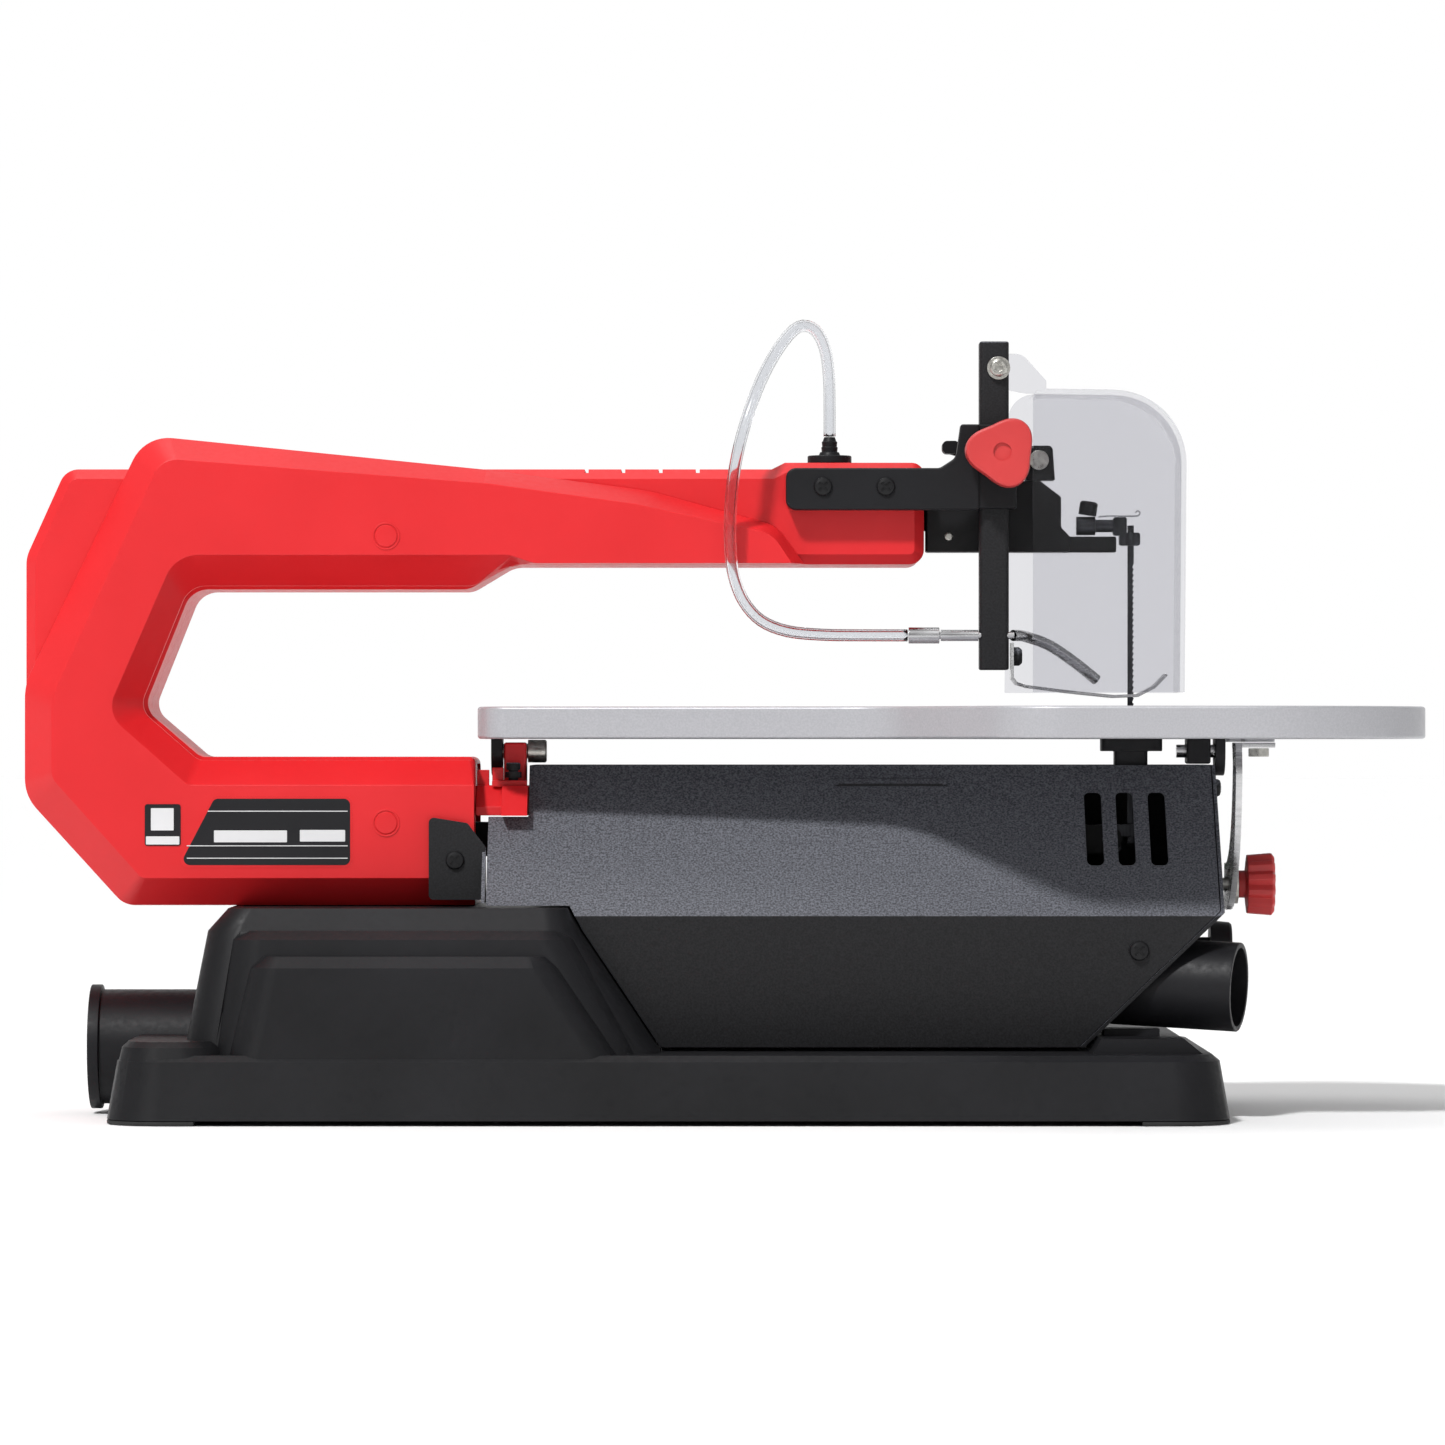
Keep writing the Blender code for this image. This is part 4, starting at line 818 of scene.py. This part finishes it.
def make_tilt_parts():
    """The slotted quadrant under the table, its screw and the clamp's washer."""
    inner, outer, centre = 46, 65, (0, TILT_Z)
    outline = arc(centre, outer, 276, 186, 14) + [(-62, 151.5), (-42, 151.5)]
    outline += arc(centre, inner, 186, 276, 12)
    bracket = prism("tilt_bracket", outline, "X", 206, 208.6)
    slot = arc(centre, STUD_DROP + 3.2, 273.5, 221, 12) + arc(centre, STUD_DROP - 3.2, 221, 273.5, 12)
    cut(bracket, prism("slot", slot, "X", 200, 215))
    join(bracket, block("flange", (206, -62, 149.5), (222, -42, 151.5)))
    turned("bracket_screw", [(4.6, 145.8), (4.6, 149.2)], (216, -52, 0), Z, 6)
    pipe("tilt_washer", 8, 3.2, 2.2, (209, 0, STUD_Z), X, 20)


def make_tilt_knob():
    """A round knob with shallow flutes around it, and a hub without them."""
    low, high = 211.5, 226
    hub, sides, flute = 5.6, 36, 1.9
    profile = ((hub, low), (hub, low + 2.6), (12.2, low + 3.4), (13, high - 1.2), (11.4, high))
    rings = []
    for radius, along in profile:
        ring = []
        for side in range(sides):
            reach = radius - (flute if side % 3 == 0 and radius > hub else 0)
            y, z = polar((0, STUD_Z), reach, 2 * math.pi * side / sides)
            ring.append(Vector((along, y, z)) * MM)
        rings.append(ring)
    knob = loft("tilt_clamp_knob", rings)
    cut(knob, turned("bore", [(3, low - 1), (3, low + 6)], (0, 0, STUD_Z), X, 16))


def table_lug(name, low, high):
    """A lug under the table that turns on the tilt axis."""
    outline = [(10, 161.7), (-10, 161.7), *arc((0, TILT_Z), 10, 180, 360, 10)]
    lug = prism(name, outline, "X", low, high)
    drill(lug, ((low + high) / 2, 0, TILT_Z), X, 3.3, 30)


def make_trunnions():
    table_lug("rear_table_lug", -94.6, -90)
    table_lug("front_table_lug", 201.6, 205.6)
    fixed = block("front_trunnion_block", (190, -9, 142.8), (199.6, 9, 153.6))
    soften(fixed, 1)
    drill(fixed, (195, 0, TILT_Z), X, 3, 30)
    bolt = [(3, -94.4), (3, -79.8), (4.7, -79.7), (4.7, -72.6), (4, -72)]
    turned("rear_pivot_bolt", bolt, (0, 0, TILT_Z), X, 18)


def make_dust_funnel():
    """The nozzle under the table that catches dust below the insert."""
    funnel = slab("dust_funnel", (155, -8), (180, 8), 3, "Z", TILT_Z, 153.8)
    join(funnel, slab("neck", (160.5, -6.5), (174, 6.5), 2, "Z", 136, TILT_Z + 1))
    cut(funnel, block("way", (163, -4.2, 120), (171.6, 4.2, 160)))


def make_head_bracket():
    outline = [(25.7, 245.8, 4), (104, 245.8), (104, 280.4), (96.5, 280.4, 1)]
    outline += [(94.6, 267, 5), (88, 262.7, 4), (25.7, 262.7, 4)]
    bracket = prism("head_bracket", rounded(outline), "Y", -37.6, SHELL_LEFT - GAP)
    sleeve = slab("sleeve", (101.8, -36.4), (119.2, -14.4), 2, "Z", 246.3, 280.4)
    soften(bracket, 0.8)
    join(bracket, soften(sleeve, 0.8))
    cut(bracket, block("channel", (103.9, -32.4, 230), (116.6, -17.6, 300)))
    drill(bracket, across(CLAMP_STUD, -35), Y, 3.2, 12)


def make_column():
    outline = rounded(rectangle(*zip(COLUMN_X, COLUMN_Y), 1.6), 2)
    column = prism("guard_column", outline, "Z", 181, 314.3)
    soften(column, 0.8)
    drill(column, (110, NOZZLE_Y, NOZZLE_Z), X, 1.9, 30)
    drill(column, across(GUARD_PIVOT, -25), Y, 2.8, 30)


def make_column_knob():
    """A three-cornered clamp knob on its stud."""
    sides, first_corner, radius, swell = 96, math.radians(54), 13.2, 1.7
    outline = []
    for side in range(sides):
        angle = 2 * math.pi * side / sides
        reach = radius + swell * math.cos(3 * (angle - first_corner))
        outline.append(polar(Vector(CLAMP_STUD), reach, angle))
    knob = prism("column_knob", outline, "Y", -55, -43)
    soften(knob, 1.6, 2)
    profile = [(2.7, 32.8), (2.7, 42), (5.5, 42), (5.5, 44)]
    join(knob, turned("stud", profile, across(CLAMP_STUD), NEAR, 16))
    drill(knob, across(CLAMP_STUD, -55), Y, 3.7, 2.4)


def make_guard():
    wall, side = GUARD_WALL, GUARD_SIDE
    outer = rounded([(126.3, 172), (126.3, 295.6, 4), (189, 294.6, 30), (188, 172)], 12)
    guard = prism("blade_guard", outer, "Y", -side, side)
    inner = [(110, 160), (110, 295.6 - wall), (189 - wall, 294.6 - wall, 28), (188 - wall, 160)]
    cut(guard, prism("inside", rounded(inner, 12), "Y", wall - side, side - wall))
    tab = rounded([(105, 297, 4), (124, 293.8), (132, 293.8), (132, 299), (122, 310, 6), (105, 310, 5)])
    join(guard, prism("tab", tab, "Y", -17.6, -15.4))
    far = rounded([(116.5, 172), (118, 295.6, 11), (140, 295.2), (140, 172)], 12)
    join(guard, prism("far_wall", far, "Y", side - wall, side))
    drill(guard, across(GUARD_PIVOT, -16), Y, 2.8, 10)


def make_guard_screw():
    profile = [(2.5, 14.4), (2.5, 32.3), (4.7, 32.3), (4.7, 33.5), (3.6, 33.5), (3.6, 35.4), (2.8, 36)]
    bolt = turned("guard_screw", profile, across(GUARD_PIVOT), NEAR, 18)
    drill(bolt, across(GUARD_PIVOT, -36), Y, 1.7, 2.4, 6)


def make_foot():
    """The spring-steel hold-down: a leg on the column, bent forward into a fork by the blade."""
    run = [(117, 192), (117, 177.5), (119, 175), (123.5, 173.8), (140, 171.8), (160, 169.8)]
    run += [(170, 170.2), (177, 173.8), (182, 179)]
    foot = prism("hold_down_foot", folded(run, 1.2), "Y", -40, 20)
    plan = [
        (110, -32), (119.5, -32), (124.5, -20.5), (148, -9), (190, -9), (190, -3), (161, -3), (161, 3),
        (190, 3), (190, 9), (146, 9), (124, -10), (119.5, -18), (110, -18),
    ]
    combine(foot, prism("plan", plan, "Z", 150, 210), "INTERSECT")


def make_foot_screw():
    """A pan head with a six-sided socket."""
    radius, height = 3.8, 2.4
    seat = Vector((119.4, -25, 186.5))
    profile = [(radius, -1.2), (radius, height * 0.5), (radius * 0.7, height)]
    head = turned("foot_screw", profile, seat, X, 16)
    drill(head, seat + Vector((height, 0, 0)), X, radius * 0.42, height, 6)


def make_controls():
    face = FRONT_X + SHEET + 2 * GAP
    bezel = slab("switch_bezel", (31, 94), (53, 131), 3, "X", face, face + 1.6)
    for z in (START_Z, STOP_Z):
        drill(bezel, (face, CONTROLS_Y, z), X, BUTTON_HOLE, 20)
    cap = [(6.2, 195), (6.2, 204.9), (5.4, 205.4)]
    turned("start_button", cap, (0, CONTROLS_Y, START_Z), X, 20)
    turned("stop_button", cap, (0, CONTROLS_Y, STOP_Z), X, 20)
    profile = [(3, 192), (3, face), (10, face), (9.2, face + 8), (8.4, face + 9)]
    dial = turned("speed_dial", profile, (0, *DIAL), X, 24)
    cut(dial, block("mark", (face + 8, DIAL[0] - 0.7, 71), (face + 12, DIAL[0] + 0.7, 79)))
    profile = [(7.5, 58.4), (7.5, 61), (5.2, 61), (4.4, 74), (2.8, 74), (2.8, 58.4)]
    turned("cable_gland", profile, (-40, 0, 100), Y, 18, hollow=True)


def smooth_route(points, pieces):
    """Points on one smooth curve through a route's own points."""
    curve = []
    count = len(points)
    spots = [Vector(p) for p in points]
    for i in range(count - 1):
        p0, p1 = spots[max(i - 1, 0)], spots[i]
        p2, p3 = spots[i + 1], spots[min(i + 2, count - 1)]
        for step in range(pieces):
            t = step / pieces
            a = 2 * p1
            b = p2 - p0
            c = 2 * p0 - 5 * p1 + 4 * p2 - p3
            d = 3 * p1 - p0 - 3 * p2 + p3
            curve.append((a + b * t + c * t**2 + d * t**3) / 2)
    curve.append(spots[-1])
    return curve


def tube_mesh(name, points, outer, inner, sides=14):
    """A hollow tube along a smooth line, its rings carried along without twist."""
    spots = [Vector(p) * MM for p in points]
    side = Vector(Y)
    outside, inside = [], []
    for i, spot in enumerate(spots):
        run = (spots[min(i + 1, len(spots) - 1)] - spots[max(i - 1, 0)]).normalized()
        side = (side - run * side.dot(run)).normalized()
        other = run.cross(side)
        for radius, rings in ((outer, outside), (inner, inside)):
            ring = []
            for step in range(sides):
                angle = 2 * math.pi * step / sides
                ring.append(spot + (side * math.cos(angle) + other * math.sin(angle)) * radius * MM)
            rings.append(ring)
    return loft(name, outside + inside[::-1], closed=True)


def make_hose():
    route = smooth_route(HOSE_ROUTE, 4)
    hose = tube_mesh("air_hose", route, 2.5, 1.5)
    dress(hose, "clear_hose")
    hose.data.shade_smooth()
    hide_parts("air_hose")
    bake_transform(hose)


def make_fitting():
    """Barbed hose fitting on the arm."""
    profile = [(2.6, 259), (2.6, 265.7), (9, 265.7), (9, 268.2), (8.6, 268.6), (4.4, 268.8), (3.9, 270)]
    profile += [(3.2, 270.2), (3.4, 272), (3, 272.3), (3.2, 274.2), (2.8, 274.5), (2.2, 276.2)]
    turned("hose_fitting", profile, (*FITTING, 0), Z, 20)


def make_blower():
    """Ferrule and the thin steel tube, bent towards the blade."""
    pipe("blower_ferrule", 3.3, 2, 12.5, (75.5, NOZZLE_Y, NOZZLE_Z), X, 20)
    full, neck = NOZZLE_RADIUS, NOZZLE_NECK
    profile = [(neck, 79), (neck, 88.6), (full, 88.6), (full, 103.8), (neck, 103.8), (neck, 118.4)]
    tube = turned("blower_nozzle", profile, (0, NOZZLE_Y, NOZZLE_Z), X, 20)
    join(tube, tube_mesh("bend", smooth_route(NOZZLE_BEND, 4), full, full - 0.5, 20))


def make_toothed_blade():
    """The blade's strip with its teeth on the front edge, and the two cross pins."""
    back, root, tip = BLADE_X - 1.3, BLADE_X + 0.65, BLADE_X + 1.3
    bottom, top = LOWER_PIN_Z - 1.6, UPPER_PIN_Z + 1.6
    outline = [(back, bottom), (tip, bottom)]
    pitch = 2.3
    height = bottom + 14
    while height < top - 16:
        outline += [(root, height), (tip, height + pitch * 0.75)]
        height += pitch
    outline += [(tip, top), (back, top)]
    strip = prism("blade", outline, "Y", -0.25, 0.25)
    for z in (UPPER_PIN_Z, LOWER_PIN_Z):
        join(strip, turned("pin", [(0.9, -3), (0.9, 3)], (BLADE_X, 0, z), Y, 16))


# ---- trim that the frame leaves out


def trim(piece, body, finish, edge=0):
    """Rounds a piece's edges, shades it, gives it its material and lets it ride."""
    if edge:
        soften(piece, edge, 2, 32)
    piece.data.shade_smooth()
    piece.data.set_sharp_from_angle(angle=math.radians(32))
    modifier = piece.modifiers.new("normals", "WEIGHTED_NORMAL")
    modifier.keep_sharp = True
    bake(piece)
    dress(piece, finish)
    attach(piece, body)


def cross_screw(name, centre, direction, radius, height, finish, body="root"):
    """A pan-head screw with a cross recess."""
    profile = [(radius, -0.4), (radius, height * 0.35)]
    profile += [(radius * 0.86, height * 0.8), (radius * 0.5, height)]
    head = turned(name, profile, centre, direction, 16)
    up = Vector(direction).normalized()
    side = up.orthogonal().normalized()
    for arm in (side, up.cross(side)):
        middle = Vector(centre) + up * height
        cut(head, turned("bar", [(0.75, -radius * 0.62), (0.75, radius * 0.62)], middle, arm, 4))
    trim(head, body, finish)


def make_plugs():
    """Round screw covers sunk in a ring on the left cover."""
    for number, z in enumerate((119, 235), 1):
        ring = pipe(f"plug_ring_{number}", 5.6, 4.9, 0.5, (PLUG_X, COVER_FACE + 0.1, z), NEAR)
        trim(ring, "root", "housing_red", 0.15)
        profile = [(4.6, 0), (4.6, 0.25), (4.2, 0.6), (2, 0.8)]
        plug = turned(f"cover_plug_{number}", profile, (PLUG_X, COVER_FACE + 0.05, z), NEAR)
        trim(plug, "root", "housing_red")


def flat_plate(name, corners, depth, finish):
    """A thin label or plate on the cover's face."""
    trim(prism(name, rounded(corners, 6), "Y", COVER_FACE - depth, COVER_FACE + 0.05), "root", finish)


def make_plates():
    """The plates and labels of the cover, all left blank."""
    rim = [(-221, 101, 3), (-149.5, 101, 3), (-149.5, 129.8, 3), (-206, 129.8, 3)]
    flat_plate("plate_rim", rim, 0.2, "housing_red")
    face = [(-219.4, 102, 2.5), (-150.5, 102, 2.5), (-150.5, 128.8, 2.5), (-205.4, 128.8, 2.5)]
    flat_plate("plate_face", face, 0.35, "plate_black")
    flat_plate("plate_field_1", rectangle((-205.5, 111.2), (-176, 116), 0.3), 0.45, "plate_white")
    flat_plate("plate_field_2", rectangle((-170.8, 111.5), (-152.5, 116.2), 0.3), 0.45, "plate_white")
    for number, (x, z) in enumerate(((-216.5, 104.6), (-216.5, 109.6), (-208, 123.6)), 1):
        flat_plate(f"plate_line_{number}", rectangle((x, z), (-151.5, z + 0.35)), 0.42, "plate_white")
    flat_plate("label_face", rectangle((-233.5, 109.8), (-219, 126.6), 1), 0.3, "plate_black")
    flat_plate("label_field", rectangle((-231, 116), (-221.8, 125), 0.2), 0.4, "plate_white")
    flat_plate("label_strip", rectangle((-233, 110.3), (-219.5, 113.6), 0.3), 0.4, "plate_white")


def make_panel_rib():
    """A long shallow rib pressed into the body's sloped upper side."""
    lean = math.sqrt(0.5)
    outline = rounded(rectangle((45, -2.2), (92, 2.2), 2.1), 6)
    rings = []
    for inset, rise in ((0, -0.4), (0, 0.15), (0.8, 0.7)):
        ring = []
        for u, v in outline:
            v *= 1 - inset / 2.2
            u += inset if u < 68.5 else -inset
            along = 135.3 + v * lean
            y = PANEL_TOP[0] - (PANEL_TOP[1] - along)
            ring.append(Vector((u, y - rise * lean, along + rise * lean)) * MM)
        rings.append(ring)
    trim(loft("panel_rib", rings), "root", "black_metal")


def make_clamp_wire():
    """The thin spring wire over the blade's upper holder, with a loop at its end."""
    points = [(154, -2.6, 244), (158, -2.6, 244.3), (164, -2.6, 244.2), (169.2, -2.6, 244.3)]
    points += [(170.6, -2.6, 244.7), (170.9, -2.6, 245.8), (170, -2.6, 246.4), (169.2, -2.6, 245.6)]
    trim(tube_mesh("clamp_wire", smooth_route(points, 4), 0.35, 0.15, 8), "blade", "bright_steel")


def make_ledge_trim():
    """The red ledge between cover and table pivot, with the table's level stop standing on it."""
    slope = [(-16, 134), (-20, 134), (-29, 125.4), (-29, 121.9), (-16, 121.9)]
    trim(prism("ledge_fill", slope, "X", -100.2, -89.6), "root", "housing_red", 0.3)
    blocks = {
        "ledge_wall": ((-100.2, -14, 133.5), (-95.2, -11, 140.4), 0.3),
        "ledge_step": ((-93.8, -23, 133.5), (-79.6, -16, 136.2), 0.5),
        "ledge_cheek": ((-93.8, -19, 135), (-89.2, -15, 141.4), 0.5),
    }
    for name, (low, high, edge) in blocks.items():
        trim(block(name, low, high), "root", "housing_red", edge)
    profile = [(2, 135.5), (2, 137.2), (3.4, 137.2), (3.4, 139.6), (2, 139.6), (2, 140.4)]
    profile += [(2.9, 140.4), (2.9, 143), (2.4, 143.4)]
    stop = turned("stop_screw", profile, (-85.2, -19.4, 0), Z, 20)
    trim(stop, "root", "black_metal", 0.15)


def make_trim():
    make_plugs()
    make_plates()
    make_panel_rib()
    make_clamp_wire()
    cross_screw("arm_screw", (92.5, -7.4, 235.8), NEAR, 1.8, 1, "zinc_steel", "upper_arm")
    cross_screw("flange_screw", across(FLANGE_SCREW, -46.5), NEAR, 3.8, 1.8, "arm_metal")
    cross_screw("front_screw", (FRONT_X + 2.2, -6, 133), X, 3.6, 2.2, "black_metal")
    for number, x in enumerate((40.7, 66.1), 1):
        cross_screw(f"bracket_bolt_{number}", (x, -37.6, 255.1), NEAR, 3.8, 1.8, "arm_metal")
    cross_screw("panel_screw", (167, -68.2, 68), NEAR, 4, 1.8, "arm_metal")
    make_ledge_trim()


# ---- assembly

# edge rounding in millimetres, and the frame nodes that pieces with it stand for
EDGES = {
    0: (
        "rear_trunnion_post upper_arm tension_lever blade front_trunnion_block head_bracket "
        "guard_column column_knob blower_nozzle"
    ),
    0.1: "hose_fitting",
    0.15: "guard_screw",
    0.2: (
        "tension_lever_pin upper_blade_clamp lower_blade_clamp table_insert rear_pivot_bolt "
        "tilt_bracket tilt_washer hold_down_foot foot_screw blower_ferrule"
    ),
    0.25: "blade_guard",
    0.3: (
        "left_side_panel right_side_panel front_panel rear_flange upper_clamp_knob table "
        "bracket_screw tilt_clamp_knob switch_bezel start_button stop_button cable_gland "
        "foot_1 foot_2 foot_3 foot_4"
    ),
    0.4: (
        "rear_dust_pipe front_dust_pipe tension_block rear_table_lug front_table_lug "
        "dust_funnel speed_dial"
    ),
    0.5: "motor_end_cap",
    0.6: "motor_housing",
    0.7: "left_frame_cover",
    0.8: "left_frame_shell right_frame_shell",
    1.2: "base",
}


def build_pieces():
    makers = (
        make_base, make_feet, make_dust_pipes, make_left_panel, make_right_panel, make_front_panel,
        make_rear_flange, make_housing, make_upper_arm, make_tension_lever, make_motor,
        make_blade_clamps, make_table, make_insert, make_trunnions, make_tilt_parts, make_tilt_knob,
        make_dust_funnel, make_head_bracket, make_column, make_column_knob, make_guard,
        make_guard_screw, make_foot, make_foot_screw, make_fitting, make_blower, make_toothed_blade,
        make_controls,
    )
    for make in makers:
        make()


def dress_frame():
    """Every frame node gets its slot's material, and each finer piece takes its node's place."""
    record = frame["record"]
    slots = {part["node"]: part["material_slot"] for part in record["subparts"]}
    bodies = {node: body for body, nodes in record["behaviour"]["bodies"].items() for node in nodes}
    for node, shown in frame["nodes"].items():
        dress(shown, slots[node])
    rounding = {node: edge for edge, names in EDGES.items() for node in names.split()}
    for node, edge in rounding.items():
        piece = bpy.data.objects[node + SUFFIX]
        trim(piece, bodies[node], slots[node], edge)
        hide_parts(node)


def make_camera():
    """Side-on, three metres away, at the height of the throat."""
    data = bpy.data.cameras.new("camera")
    data.sensor_width = 36
    data.lens = 182.3
    data.shift_y = 0.0156
    bpy.context.scene.camera = place("camera", data, (0, -3, 0.1505), (math.radians(90), 0, 0))


def turned_to(direction):
    """The rotation of a lamp that shines in a direction."""
    return Vector(direction).to_track_quat("-Z", "Y").to_euler()


def make_lamp(name, spot, target, size, energy):
    data = bpy.data.lights.new(name, "AREA")
    data.shape = "DISK"
    data.size = size
    data.energy = energy
    place(name, data, spot, turned_to(Vector(target) - Vector(spot)))


def make_sun(name, towards, strength, spread_angle):
    """Even light from one side, its spread in degrees."""
    data = bpy.data.lights.new(name, "SUN")
    data.energy = strength
    data.angle = math.radians(spread_angle)
    place(name, data, turn=turned_to(-Vector(towards)))


def make_studio():
    """Plain pale floor and soft light from above and to the left."""
    reach, depth = 30, -0.0002
    mesh = bpy.data.meshes.new("floor")
    corners = [(u * reach, v * reach, depth) for u, v in ((-1, -1), (1, -1), (1, 1), (-1, 1))]
    mesh.from_pydata(corners, [], [(0, 1, 2, 3)])
    mesh.materials.append(start_material("floor", (0.96, 0.96, 0.96), 0.9)[0])
    place("floor", mesh)
    make_sky()
    make_sun("key", (-0.3, -0.64, 0.74), 2.6, 6)
    make_lamp("top", (-0.3, 0.2, 1.9), (0, 0, 0.15), 1.2, 8)
    bpy.context.scene.view_settings.view_transform = "Standard"


def make_sky():
    """White studio wall behind the saw, softer light from the other sides."""
    world = bpy.data.worlds.new("studio")
    world.use_nodes = True
    tree = world.node_tree
    background = tree.nodes["Background"]
    where = new_node(tree, "TexCoord")
    split = new_node(tree, "SeparateXYZ")
    tree.links.new(where.outputs["Generated"], split.inputs["Vector"])
    strength = spread(tree, split.outputs["Y"], 0.6, 0.9, 0.42, 1)
    tree.links.new(strength, background.inputs["Strength"])
    background.inputs["Color"].default_value = (1, 1, 1, 1)
    bpy.context.scene.world = world


make_camera()
make_hose()
build_pieces()
dress_frame()
make_trim()
make_studio()
